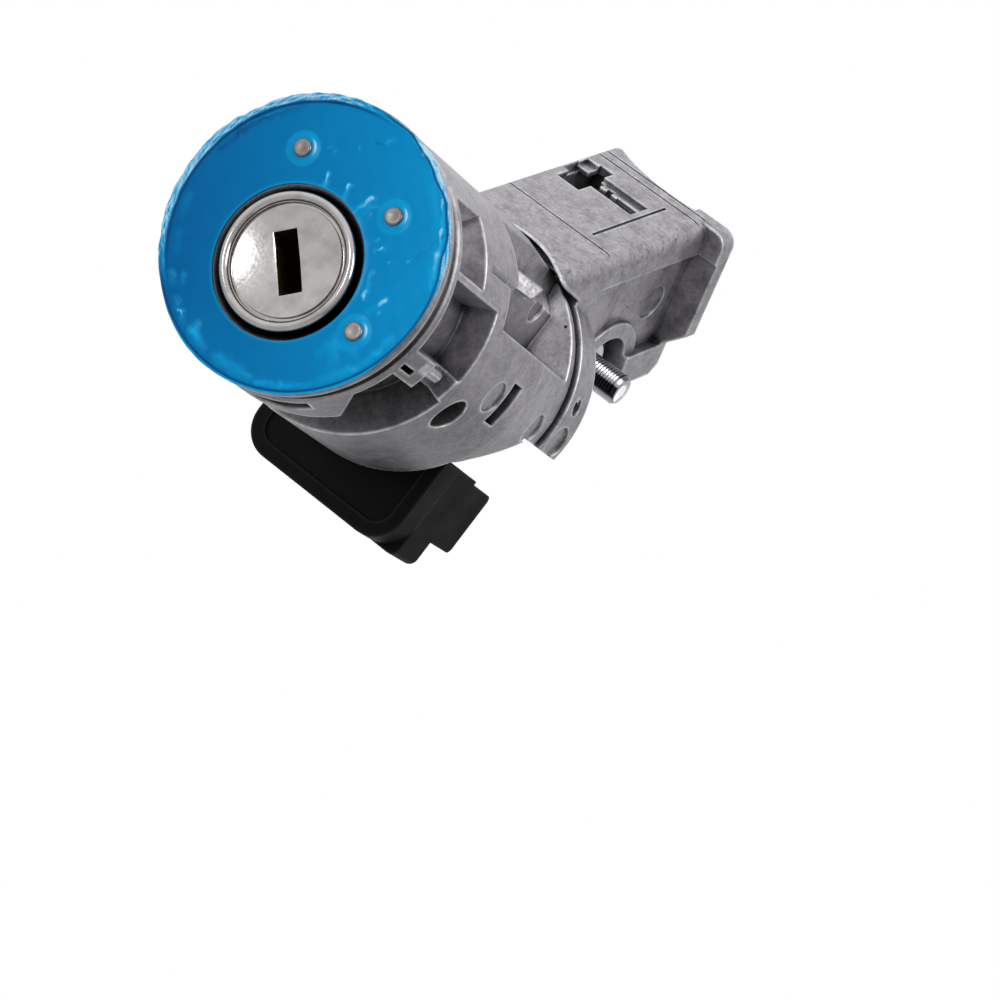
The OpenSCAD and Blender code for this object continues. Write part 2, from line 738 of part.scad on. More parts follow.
// Hardened bolt with a bevelled nose, a notch for the carrier and a bore for its spring
module lock_bolt() {
  color("#8d9096") difference() {
    along_bolt(bolt_b, bolt_reach) translate([-bolt_w/2, bolt_c]) square([bolt_w, bolt_h]);
    in_box() translate([0, bolt_b - 1, -bolt_mid]) rotate([-90, 0, 0])
      cylinder(r = bolt_bore_r, h = bolt_bore_end - bolt_b + 1);
    box_block([-far, far], [notch_b, notch_b + notch_l], [bolt_c - 1, bolt_c + hook_d]);
    both_sides() in_box() translate([bolt_w/2 - 1.4, bolt_reach, -far]) rotate([0, 0, 45])
      cube([far, far, 2*far]);
  }
}

module bolt_spring() {
  color(steel) in_box() translate([0, chamber_b, -bolt_mid]) rotate([-90, 0, 0])
    coil(spring_r, spring_wire, bolt_bore_end - chamber_b, 9, 14, 6);
}

module mounting_stud() {
  color(steel) {
    bar_x(stud_r - 0.3, stud_b, stud_c, 0, stud_start + 0.5);
    bar_x(stud_r, stud_b, stud_c, stud_start, stud_start + stud_free);
    in_box() translate([stud_start + stud_free, stud_b, -stud_c]) rotate([0, 90, 0])
      cylinder(r1 = stud_r, r2 = stud_r - 0.5, h = 0.5);
  }
}

module stud_collar() {
  color("#e2e3e5") difference() {
    bar_x(stud_r + 1.6, stud_b, stud_c, stud_seat_x, stud_start);
    bar_x(stud_r - 0.3 + fit_gap, stud_b, stud_c, 0, far);
  }
}

// Screws that hold the plate to the barrel
module body_screws() {
  color(steel) for (x = [-screw_x, screw_x]) translate([x, 0, 0]) {
    bar_y(screw_r, barrel_end - screw_hold, plate_end - 1, screw_z);
    difference() {
      bar_y(2*screw_r - 0.3, plate_end - 2, plate_end - 0.4, screw_z);
      translate([-far, plate_end - 1.1, screw_z - 0.3]) cube([2*far, 2, 0.6]);
    }
  }
}

// Hollow cross pin through the plate that holds the switch hub
module switch_pin() {
  reach = sqrt(plate_r*plate_r - pow(switch_pin_z - ecc, 2)) - 0.5;
  color(steel) translate([hub_r - 4, switch_pin_y, switch_pin_z]) rotate([0, 90, 0]) difference() {
    cylinder(r = switch_pin_r, h = reach - hub_r + 4, $fn = 32);
    translate([0, 0, -1]) cylinder(r = 0.55*switch_pin_r, h = far, $fn = 32);
  }
}

// Outline of the switch with rounded lower corners
module switch_outline(corner, inset = 0) {
  w = switch_half - inset;
  top = -switch_top - inset;
  low = -switch_low + inset;
  r = corner - inset;
  translate([-w, low + r]) square([2*w, top - low - r]);
  translate([-w + r, low]) square([2*w - 2*r, r + eps]);
  for (x = [-1, 1]) translate([x*(w - r), low + r]) circle(r = r);
}

// Extrudes an (x, z) outline along Y
module along_y(y0, y1) {
  translate([0, y1, 0]) rotate([90, 0, 0]) linear_extrude(y1 - y0) children();
}

module switch_cover() {
  color(black) difference() {
    along_y(cover_y, cover_end) switch_outline(cover_corner);
    along_y(cover_y + mould_wall, cover_end + 1) switch_outline(cover_corner, mould_wall);
    along_y(cover_y - 1, cover_y + cover_recess) switch_outline(cover_corner, cover_rim);
  }
}

// Side view of the connector shroud, with its rear corners rounded
module shroud_profile() {
  length = shroud_end - block_end + 1;
  translate([block_end - 1, -shroud_low]) square([length - shroud_corner, shroud_h]);
  translate([block_end - 1, shroud_corner - shroud_low]) square([length, shroud_h - 2*shroud_corner]);
  for (z = [shroud_corner, shroud_h - shroud_corner])
    translate([shroud_end - shroud_corner, z - shroud_low]) circle(r = shroud_corner, $fn = 32);
}

// Moulded base: block, connector shroud and the hub round the rotor
module switch_housing() {
  color(black) difference() {
    union() {
      along_y(cover_end, block_end) switch_outline(block_corner);
      along_x(-switch_half, switch_half) shroud_profile();
      bar_y(hub_r, hub_y, hub_end);
    }
    bar_y(hub_cavity_r, hub_y - 1, hub_floor);
    bar_y(hub_r + fit_gap, cap_y - fit_gap, hub_y);
    translate([-switch_half + mould_wall, socket_y, -shroud_low + mould_wall])
      cube([switch_w - 2*mould_wall, far, shroud_h - 2*mould_wall]);
    for (i = [0:blade_n - 1]) translate([(i - (blade_n - 1)/2)*blade_pitch, 0, 0]) blade();
    translate([0, switch_pin_y, switch_pin_z]) rotate([0, 90, 0])
      translate([0, 0, hub_r - 4]) cylinder(r = switch_pin_r, h = far, $fn = 32);
  }
  color(black) bar_y(hub_pin_r, crank_end + 0.6, hub_floor + 1);
}

// One connector blade
module blade() {
  translate([-blade_w/2, blade_start, -shroud_low + shroud_h/2 - blade_t/2])
    cube([blade_w, blade_end - blade_start, blade_t]);
}

module connector_terminals() {
  color(brass) for (i = [0:blade_n - 1]) translate([(i - (blade_n - 1)/2)*blade_pitch, 0, 0]) blade();
}

// Lid of the hub, open in the middle for the crank pin
module rotor_cap() {
  color(black) difference() {
    bar_y(hub_r, cap_y, hub_y);
    bar_y(crank_r + crank_pin_r + crank_play, 0, far + hub_y);
  }
}

module switch_rotor() {
  color("#3a3b3d") difference() {
    bar_y(rotor_r, rotor_y, rotor_end);
    bar_y(crank_pin_r + run_gap, 0, crank_end + 0.4, crank_r);
    bar_y(hub_pin_r + run_gap, crank_end + 0.3, far + rotor_end);
  }
}

// Contact carried round by the rotor
module contact_bridge() {
  color(brass) on_y() rotate([0, 0, 55]) rotate_extrude(angle = 70)
    translate([rotor_r - 4, rotor_end]) square([3, bridge_t]);
}

barrel_housing();
protective_film();
locating_pins();
stop_pin();
plug_cap();
lock_plug();
tumblers();
tumbler_springs();
plug_clip();
plug_driver();
lock_body();
side_cover();
bolt_carrier();
lock_bolt();
bolt_spring();
mounting_stud();
stud_collar();
body_screws();
switch_pin();
switch_cover();
switch_housing();
rotor_cap();
switch_rotor();
contact_bridge();
connector_terminals();
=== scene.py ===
"""Looks of a steering-lock ignition switch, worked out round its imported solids.

The file is laid out as an add-on: settings, one operator for each piece or group of like pieces, a panel,
and a main function that calls the operators in order. Sizes inside the functions are millimetres in the
part's own frame (the plug's axis is Y, the bolt box is on +Z, the stud on +X), and MM turns them to metres.
"""

import math

import bmesh
import bpy
import numpy as np
from mathutils import Matrix, Vector


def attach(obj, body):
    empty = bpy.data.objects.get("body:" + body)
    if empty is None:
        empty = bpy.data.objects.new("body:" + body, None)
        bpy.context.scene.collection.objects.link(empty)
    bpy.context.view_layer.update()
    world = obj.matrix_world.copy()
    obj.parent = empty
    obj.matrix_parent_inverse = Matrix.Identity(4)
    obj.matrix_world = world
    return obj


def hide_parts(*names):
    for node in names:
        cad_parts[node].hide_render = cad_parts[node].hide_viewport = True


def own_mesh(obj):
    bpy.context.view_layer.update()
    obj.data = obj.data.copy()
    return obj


bl_info = {
    "name": "Ignition switch looks",
    "version": (1, 0, 0),
    "blender": (4, 5, 0),
    "location": "View3D > Sidebar > Ignition switch",
    "description": "Dresses the packed solids of a steering-lock ignition switch",
    "category": "Object",
}

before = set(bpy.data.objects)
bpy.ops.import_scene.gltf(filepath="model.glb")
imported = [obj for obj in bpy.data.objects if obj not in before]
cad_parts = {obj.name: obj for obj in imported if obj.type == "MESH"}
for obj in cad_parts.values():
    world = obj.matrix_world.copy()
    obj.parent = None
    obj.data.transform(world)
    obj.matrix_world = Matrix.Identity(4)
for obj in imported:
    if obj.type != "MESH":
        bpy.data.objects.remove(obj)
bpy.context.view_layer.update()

MM = 0.001
TURN = 2 * math.pi

# Head and film
BARREL_Z = 3.06                # the barrel's axis lies this far above the plug's
HEAD_R = 20.0                  # front rim
HOLE_R = 10.5                  # hole in the film round the plug
FILM_R = HEAD_R - 0.2          # the film's edge before it frays
CREASE_R = 18.9                # crease where the free edge leaves the rim
FOLD_R = 19.62                 # fold where the rest of the edge turns over the rim
FILM_BACK = 0.28               # the film's back lies just in front of the rim's face
FILM_SIDES = 600               # points round the film
FACE_ROWS, EDGE_ROWS = 76, 24  # rings of points over the face and near the torn edge

# Face pins
FACE_PINS = ((12.7, 129.4), (12.7, 49.6), (14.4, -20.5))   # distance from the barrel's axis, angle
PIN_R, PIN_PROUD, PIN_DEPTH = 1.25, 0.5, 4.2

# Plug: cap, keyway and tumblers
CAP_R, CAP_FACE, CAP_BACK = 9.4, -0.2, 0.45
DISH_R = 7.45                  # hollow in the cap's face
BEAD_R = 0.65                  # rounded bead round the cap
KEYWAY_L, KEYWAY_W, KEYWAY_ANGLE = 8.6, 3.2, 45.0
TUMBLERS, TUMBLER_FRONT, TUMBLER_STEP, TUMBLER_THICK = 8, 8.9, 2.6, 0.8
WELL_X, WELL_Z = -1.6, 4.45    # foot of a tumbler's spring, before the keyway's turn

# Bolt box: b runs along the bolt and c down into the box
TILT = math.radians(33.4)
BOX_EDGE = np.array([0.0, 55.0, 24.58])                    # where b and c start
ALONG = np.array([0.0, math.cos(TILT), math.sin(TILT)])
DOWN = np.array([0.0, math.sin(TILT), -math.cos(TILT)])
STUD_B, STUD_C = 17.4, 23.6
STUD_R, SHANK_R = 2.5, 2.2
THREAD_START, THREAD_END, THREAD_ROWS = 7.8, 14.3, 131

# Stage, in millimetres where nothing else is said
FLOOR_R, BACKDROP_R, SHEET_THICK = 600.0, 1430.0, 5.0
CAMERA_RIGHT = Vector((0.73382, 0.30959, 0.60470))
CAMERA_UP = Vector((-0.56629, -0.21294, 0.79623))
CAMERA_BACK = Vector((0.37526, -0.92672, 0.01906))
CAMERA_EYE = Vector((0.2055, -0.4007, 0.0007))             # metres
CAMERA_LENS, CAMERA_SENSOR = 126.19, 36.0
LAMP_AIM, LAMP_REACH = Vector((0.0, 0.04, 0.01)), 0.7      # metres
LAMPS = (("key", (0.68, -0.3, 0.6), 0.35), ("fill", (-0.24, -0.965, 0.09), 0.11),
         ("rim", (0.42, 0.9, -0.02), 0.12))                   # name, direction, metres across


def linear(code):
    """Turns an sRGB hex colour into linear RGBA."""
    parts = [int(code[i:i + 2], 16) / 255 for i in (1, 3, 5)]
    return (*[c / 12.92 if c <= 0.04045 else ((c + 0.055) / 1.055) ** 2.4 for c in parts], 1.0)


def smooth(low, high, x):
    """Smooth step: 0 at low, 1 at high, cubic between and level outside."""
    t = np.clip((x - low) / (high - low), 0, 1)
    return t * t * (3 - 2 * t)


def band(x, start, full, fall, end):
    """Smooth step up from start to full, times a smooth step down from fall to end."""
    return smooth(start, full, x) * (1 - smooth(fall, end, x))


def bell(distance, width):
    """Bell curve exp(-(distance / width)^2)."""
    return np.exp(-(distance / width) ** 2)


def in_box(x, b, c):
    """Point at x across, b along the bolt and c down from the box's reference edge."""
    x, b, c = np.broadcast_arrays(x, b, c)
    across = np.array([1.0, 0.0, 0.0])
    return BOX_EDGE + x[..., None] * across + b[..., None] * ALONG + c[..., None] * DOWN


def pin_centre(distance, angle):
    """Centre (x, z) of a face pin, from its polar place round the barrel's axis."""
    turn = math.radians(angle)
    return distance * math.cos(turn), distance * math.sin(turn) + BARREL_Z


def rounded_square(power, sides):
    """Outline (u, v) with |u|^n + |v|^n = 1, n = power: a square of half width 1 with rounded corners."""
    a = np.arange(sides) * TURN / sides
    c, s = np.cos(a), np.sin(a)
    reach = (np.abs(c) ** power + np.abs(s) ** power) ** (-1 / power)
    return reach * c, reach * s


def grid_faces(rows, cols, wrap_rows):
    """Quads of a rows by cols grid of points. Columns close round, and so do rows where wrapped."""
    i = np.arange(rows if wrap_rows else rows - 1)[:, None]
    j = np.arange(cols)[None, :]
    i2, j2 = (i + 1) % rows, (j + 1) % cols
    quads = [i * cols + j, i * cols + j2, i2 * cols + j2, i2 * cols + j]
    return np.stack(np.broadcast_arrays(*quads), -1).reshape(-1, 4)


def solid(name, grids, wrap_rows=False, sharp=40.0):
    """Mesh object from one or more grids of points in millimetres. Columns always close round; rows either
    close round too, or the first and last row are shut by a flat cap."""
    points, faces, start = [], [], 0
    for grid in grids:
        rows, cols = grid.shape[:2]
        points.append(grid.reshape(-1, 3))
        faces += (grid_faces(rows, cols, wrap_rows) + start).tolist()
        if not wrap_rows:
            faces.append(list(range(start + cols - 1, start - 1, -1)))
            faces.append(list(range(start + (rows - 1) * cols, start + rows * cols)))
        start += rows * cols
    mesh = bpy.data.meshes.new(name)
    mesh.from_pydata((np.concatenate(points) * MM).tolist(), [], faces)
    work = bmesh.new()
    work.from_mesh(mesh)
    bmesh.ops.recalc_face_normals(work, faces=work.faces)
    work.to_mesh(mesh)
    work.free()
    mesh.polygons.foreach_set("use_smooth", np.ones(len(mesh.polygons), bool))
    mesh.set_sharp_from_angle(angle=math.radians(sharp))
    piece = bpy.data.objects.new(name, mesh)
    bpy.context.scene.collection.objects.link(piece)
    return piece


def finish_piece(piece, body, node, material):
    """Gives a new piece its finish and its body, and hides the solid that it stands for."""
    piece.data.materials.append(material)
    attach(piece, body)
    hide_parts(node)


def turned(profile, sides, place):
    """Surface of revolution: each (radius, height) of the profile becomes a ring of points, and place puts
    (x, y, height) into the part's frame."""
    radius, height = np.array(profile, float).T
    a = np.arange(sides) * TURN / sides
    x, y = radius[:, None] * np.cos(a), radius[:, None] * np.sin(a)
    return place(x, y, np.broadcast_to(height[:, None], x.shape))


def coil(radius, wire, length, turns, steps, sides, place):
    """Round wire carried along a helix: the centre is (R cos a, R sin a, L a / whole turn), and the section
    stands on the helix's own normal and binormal. The end turns lie closer, as on a closed spring."""
    t = np.linspace(0, 1, turns * steps + 1)
    a = TURN * turns * t
    rise = smooth(-0.12, 1.12, t)
    rise = wire / 2 + (length - wire) * (rise - rise[0]) / (rise[-1] - rise[0])
    slope = np.gradient(rise, a) / radius
    out = np.stack([np.cos(a), np.sin(a), 0 * a], -1)
    up = np.stack([slope * np.sin(a), -slope * np.cos(a), np.ones_like(a)], -1)
    up /= np.linalg.norm(up, axis=1, keepdims=True)
    centre = np.stack([radius * np.cos(a), radius * np.sin(a), rise], -1)
    q = np.arange(sides) * TURN / sides
    ring = out[:, None] * np.cos(q)[:, None] + up[:, None] * np.sin(q)[:, None]
    p = centre[:, None] + wire / 2 * ring
    return place(p[..., 0], p[..., 1], p[..., 2])


def round_sheet(name, centre, right, up, radius):
    """Thin disc of the stage: the rim is centre + R (cos a right + sin a up), and its back lies behind it."""
    a = np.arange(96) * TURN / 96
    rim = centre + radius * (np.cos(a)[:, None] * np.array(right) + np.sin(a)[:, None] * np.array(up))
    return solid(name, [np.stack([rim - SHEET_THICK * np.cross(right, up), rim])])


def add(tree, kind, values=None, links=None, stops=(), **settings):
    """Adds a node with its own settings, its sockets' values, its sockets' sources and, on a colour ramp, its
    (place, colour) stops."""
    node = tree.nodes.new(kind)
    for key, value in settings.items():
        setattr(node, key, value)
    for key, value in (values or {}).items():
        node.inputs[key].default_value = value
    for key, source in (links or {}).items():
        tree.links.new(source, node.inputs[key])
    if stops:
        marks = node.color_ramp.elements
        marks[0].position, marks[0].color = stops[0]
        marks[1].position, marks[1].color = stops[-1]
        for place, colour in stops[1:-1]:
            marks.new(place).color = colour
    return node


def span(low, high, to_low=0.0, to_high=1.0):
    """Sockets' values that map low to high onto to_low to to_high."""
    return {"From Min": low, "From Max": high, "To Min": to_low, "To Max": to_high}


def per_mm(size):
    """Texture scale at which one feature is about this many millimetres wide."""
    return 1 / (size * MM)


def start_material(name):
    """New material with an empty tree: the material, the tree and its Object coordinates."""
    material = bpy.data.materials.new(name)
    material.use_nodes = True
    material.node_tree.nodes.clear()
    tree = material.node_tree
    here = add(tree, "ShaderNodeTexCoord").outputs["Object"]
    return material, tree, here


def nearness(tree, reach, low, high, inside=False):
    """Share of nearby surface within the reach: on the outside it marks hollows, on the inside it marks edges
    that stand out. It is 0 where the open share is above high, and 1 where it is below low."""
    node = add(tree, "ShaderNodeAmbientOcclusion", {"Distance": reach * MM}, samples=6, inside=inside)
    return add(tree, "ShaderNodeMapRange", span(high, low), {"Value": node.outputs["AO"]}).outputs["Result"]


def painted_pocket_light_and_shade(tree, here, upper, upright):
    """Multiplier for a casting's colour, painted light and shade in its hollows: scaled by upper in the upper
    and rear pockets and by upright on their walls that face sideways, painted shade in the lower pockets,
    nearly black in deep slots, and darker towards the bottom all over. Height is measured as z + y / 4."""
    rise = add(tree, "ShaderNodeVectorMath", {1: (0.0, 0.25, 1.0)}, {0: here},
               operation="DOT_PRODUCT").outputs["Value"]
    way = add(tree, "ShaderNodeSeparateXYZ", links={0: add(tree, "ShaderNodeTexCoord").outputs["Normal"]})
    wall = add(tree, "ShaderNodeMath", links={0: way.outputs["X"]}, operation="ABSOLUTE")
    # Painted light: hollows high up are scaled by upper, and by upright on walls that face sideways
    top = add(tree, "ShaderNodeMapRange", span(0.9, 0.98, upper, upright), {"Value": wall.outputs[0]})
    # Painted shade: hollows low down grow dark
    belly_shade = add(tree, "ShaderNodeMapRange", span(-2 * MM, 9 * MM, 0.02, 0.85), {"Value": rise})
    low = add(tree, "ShaderNodeMapRange", span(12 * MM, 21 * MM),
              {"Value": rise, "To Min": belly_shade.outputs["Result"], "To Max": top.outputs["Result"]},
              interpolation_type="SMOOTHSTEP")
    # Painted shade: the whole casting darker towards the bottom
    skin = add(tree, "ShaderNodeMapRange", span(0.0, 15 * MM, 0.66, 1.06), {"Value": rise})
    pocket_light_and_shade = add(tree, "ShaderNodeMapRange", span(0.0, 1.0, 1.0),
                 {"Value": nearness(tree, 8, 0.3, 0.85), "To Max": low.outputs["Result"]})
    # Painted shade: deep slots nearly black
    deep = add(tree, "ShaderNodeMapRange", span(0.0, 1.0, 1.0, 0.04),
               {"Value": nearness(tree, 5, 0.24, 0.5)})
    both = add(tree, "ShaderNodeMath", links={0: pocket_light_and_shade.outputs["Result"], 1: deep.outputs["Result"]},
               operation="MULTIPLY")
    return add(tree, "ShaderNodeMath", links={0: both.outputs[0], 1: skin.outputs["Result"]},
               operation="MULTIPLY").outputs[0]


def edge_pits(tree, here):
    """Share of pitting: fine spots, only within a few millimetres of the bolt box's long upper edge."""
    corner = in_box(9.6, 0.0, 1.1) * MM
    aside = add(tree, "ShaderNodeVectorMath", {1: tuple(corner)}, {0: here}, operation="SUBTRACT")
    aside = add(tree, "ShaderNodeVectorMath", {1: tuple(ALONG)}, {0: aside.outputs[0]},
                operation="CROSS_PRODUCT")
    aside = add(tree, "ShaderNodeVectorMath", links={0: aside.outputs[0]}, operation="LENGTH")
    close = add(tree, "ShaderNodeMapRange", span(3.4 * MM, 1.2 * MM), {"Value": aside.outputs["Value"]})
    spots = add(tree, "ShaderNodeTexNoise", {"Scale": per_mm(0.8), "Detail": 3}, {"Vector": here})
    spot = add(tree, "ShaderNodeMapRange", span(0.6, 0.68, 0.0, 0.5), {"Value": spots.outputs["Fac"]})
    return add(tree, "ShaderNodeMath", links={0: close.outputs["Result"], 1: spot.outputs["Result"]},
               operation="MULTIPLY").outputs[0]


def die_cast_zinc(name, colour, dull, upper, upright):
    """Zinc alloy, die cast: satin grey with darker clouds from the metal's flow, a fine grain, a few open
    pores, pits along the box's long edge, painted light and shade in its pockets, painted shade in the corners,
    and edges rubbed bright by handling, partly a painted highlight."""
    material, tree, here = start_material(name)
    clouds = add(tree, "ShaderNodeTexNoise", {"Scale": per_mm(2.6), "Detail": 7, "Roughness": 0.76},
                 {"Vector": here}).outputs["Fac"]
    grain = add(tree, "ShaderNodeTexNoise", {"Scale": per_mm(0.5), "Detail": 3},
                {"Vector": here}).outputs["Fac"]
    cells = add(tree, "ShaderNodeTexVoronoi", {"Scale": per_mm(6)}, {"Vector": here})
    pore = add(tree, "ShaderNodeMapRange", span(0.03, 0.05), {"Value": cells.outputs["Distance"]})
    cloud = add(tree, "ShaderNodeValToRGB", links={"Fac": clouds},
                stops=[(0.36, linear(dull)), (0.58, linear(colour))])
    speck = add(tree, "ShaderNodeMapRange", span(0.3, 0.7, 0.8, 1.12), {"Value": grain})
    shadow = add(tree, "ShaderNodeMath",
                 links={0: speck.outputs["Result"], 1: painted_pocket_light_and_shade(tree, here, upper, upright)},
                 operation="MULTIPLY")
    tone = add(tree, "ShaderNodeMix", {"Factor": 1.0}, {"A": cloud.outputs["Color"], "B": shadow.outputs[0]},
               data_type="RGBA", blend_type="MULTIPLY", clamp_result=True)
    holes = add(tree, "ShaderNodeMix", {"A": linear("#1d1e20")},
                {"Factor": pore.outputs["Result"], "B": tone.outputs["Result"]}, data_type="RGBA")
    pitted = add(tree, "ShaderNodeMix", {"B": linear("#3a393c")},
                 {"Factor": edge_pits(tree, here), "A": holes.outputs["Result"]}, data_type="RGBA")
    # Edges rubbed bright by handling, partly a painted highlight along edges that catch the light
    patchy = add(tree, "ShaderNodeMapRange", span(0.35, 0.65, 0.25, 1.0), {"Value": clouds})
    wear_and_highlight = add(tree, "ShaderNodeMath",
               links={0: nearness(tree, 0.55, 0.5, 0.9, inside=True), 1: patchy.outputs["Result"]},
               operation="MULTIPLY")
    edges = add(tree, "ShaderNodeMix", {"B": linear("#ececef")},
                {"Factor": wear_and_highlight.outputs[0], "A": pitted.outputs["Result"]}, data_type="RGBA")
    # Painted shade: dark in corners and narrow grooves
    corner_shade = add(tree, "ShaderNodeMix", {"B": linear("#232224")},
                {"Factor": nearness(tree, 1.4, 0.3, 0.85), "A": edges.outputs["Result"]}, data_type="RGBA")
    rough = add(tree, "ShaderNodeMapRange", span(0.3, 0.7, 0.36, 0.5), {"Value": clouds})
    round_edge = add(tree, "ShaderNodeBevel", {"Radius": 0.6 * MM}, samples=8)
    bump = add(tree, "ShaderNodeBump", {"Strength": 0.5, "Distance": 0.06 * MM},
               {"Height": grain, "Normal": round_edge.outputs[0]})
    skin = add(tree, "ShaderNodeBsdfPrincipled", {"Metallic": 0.88},
               {"Base Color": corner_shade.outputs["Result"], "Roughness": rough.outputs["Result"],
                "Normal": bump.outputs["Normal"]})
    add(tree, "ShaderNodeOutputMaterial", links={"Surface": skin.outputs["BSDF"]})
    return material


def plated_metal(name, colour, dark, rough, grain, metallic=1.0):
    """Metal with a bright skin: even colour with faint clouds, and a fine ripple, grain millimetres wide, that
    breaks reflections."""
    material, tree, here = start_material(name)
    clouds = add(tree, "ShaderNodeTexNoise", {"Scale": per_mm(3), "Detail": 3}, {"Vector": here})
    ripple = add(tree, "ShaderNodeTexNoise", {"Scale": per_mm(grain), "Detail": 2}, {"Vector": here})
    tone = add(tree, "ShaderNodeValToRGB", links={"Fac": clouds.outputs["Fac"]},
               stops=[(0.3, linear(dark)), (0.6, linear(colour))])
    spread = add(tree, "ShaderNodeMapRange", span(0.3, 0.7, rough * 0.8, rough * 1.25),
                 {"Value": ripple.outputs["Fac"]})
    bump = add(tree, "ShaderNodeBump", {"Strength": 0.3, "Distance": 0.02 * MM},
               {"Height": ripple.outputs["Fac"]})
    skin = add(tree, "ShaderNodeBsdfPrincipled", {"Metallic": metallic},
               {"Base Color": tone.outputs["Color"], "Roughness": spread.outputs["Result"],
                "Normal": bump.outputs["Normal"]})
    add(tree, "ShaderNodeOutputMaterial", links={"Surface": skin.outputs["BSDF"]})
    return material


def painted_light_zinc_plate(name, axis, across, radius):
    """Bright zinc plate on a threaded stud, with painted light and shade across it: a painted highlight along
    the upper side, painted shade along the underside, and a painted highlight on the end."""
    material, tree, here = start_material(name)
    side = add(tree, "ShaderNodeVectorMath", {1: tuple(axis * MM)}, {0: here}, operation="SUBTRACT")
    side = add(tree, "ShaderNodeVectorMath", {1: tuple(across)}, {0: side.outputs[0]}, operation="DOT_PRODUCT")
    share = add(tree, "ShaderNodeMapRange", span(-radius * MM, radius * MM), {"Value": side.outputs["Value"]})
    # Painted highlight and painted shade in bands across the stud, from its upper side to its underside
    painted_bands = add(tree, "ShaderNodeValToRGB", links={"Fac": share.outputs["Result"]},
              stops=[(0.0, linear("#77757d")), (0.18, linear("#5f5e66")), (0.28, linear("#e4e4e7")),
                     (0.48, linear("#c0bfc4")), (0.53, linear("#29292b")), (0.82, linear("#1e1e20")),
                     (0.88, linear("#a5a3aa")), (1.0, linear("#cfcdd2"))])
    # Painted highlight on the flat end
    face = add(tree, "ShaderNodeNewGeometry")
    end = add(tree, "ShaderNodeVectorMath", {1: (1.0, 0.0, 0.0)}, {0: face.outputs["Normal"]},
              operation="DOT_PRODUCT")
    end_highlight = add(tree, "ShaderNodeMapRange", span(0.85, 0.95), {"Value": end.outputs["Value"]})
    tone = add(tree, "ShaderNodeMix", {"B": linear("#d2d2d6")},
               {"Factor": end_highlight.outputs["Result"], "A": painted_bands.outputs["Color"]}, data_type="RGBA")
    skin = add(tree, "ShaderNodeBsdfPrincipled", {"Metallic": 1.0, "Roughness": 0.14},
               {"Base Color": tone.outputs["Result"]})
    add(tree, "ShaderNodeOutputMaterial", links={"Surface": skin.outputs["BSDF"]})
    return material


def moulded_plastic(name, colour, light, rough):
    """Moulded ABS or acetal: deep colour, a fine spark-eroded grain, and paler rubbed edges."""
    material, tree, here = start_material(name)
    grain = add(tree, "ShaderNodeTexNoise", {"Scale": per_mm(0.45), "Detail": 2}, {"Vector": here})
    clouds = add(tree, "ShaderNodeTexNoise", {"Scale": per_mm(5), "Detail": 3}, {"Vector": here})
    tone = add(tree, "ShaderNodeValToRGB", links={"Fac": clouds.outputs["Fac"]},
               stops=[(0.35, linear(colour)), (0.7, linear(light))])
    edges = add(tree, "ShaderNodeMix", {"B": linear("#212223")},
                {"Factor": nearness(tree, 0.5, 0.5, 0.95, inside=True), "A": tone.outputs["Color"]},
                data_type="RGBA")
    spread = add(tree, "ShaderNodeMapRange", span(0.3, 0.7, rough - 0.06, rough + 0.06),
                 {"Value": clouds.outputs["Fac"]})
    round_edge = add(tree, "ShaderNodeBevel", {"Radius": 0.35 * MM}, samples=6)
    bump = add(tree, "ShaderNodeBump", {"Strength": 0.3, "Distance": 0.04 * MM},
               {"Height": grain.outputs["Fac"], "Normal": round_edge.outputs[0]})
    skin = add(tree, "ShaderNodeBsdfPrincipled", {"IOR": 1.5, "Specular IOR Level": 0.1},
               {"Base Color": edges.outputs["Result"], "Roughness": spread.outputs["Result"],
                "Normal": bump.outputs["Normal"]})
    add(tree, "ShaderNodeOutputMaterial", links={"Surface": skin.outputs["BSDF"]})
    return material


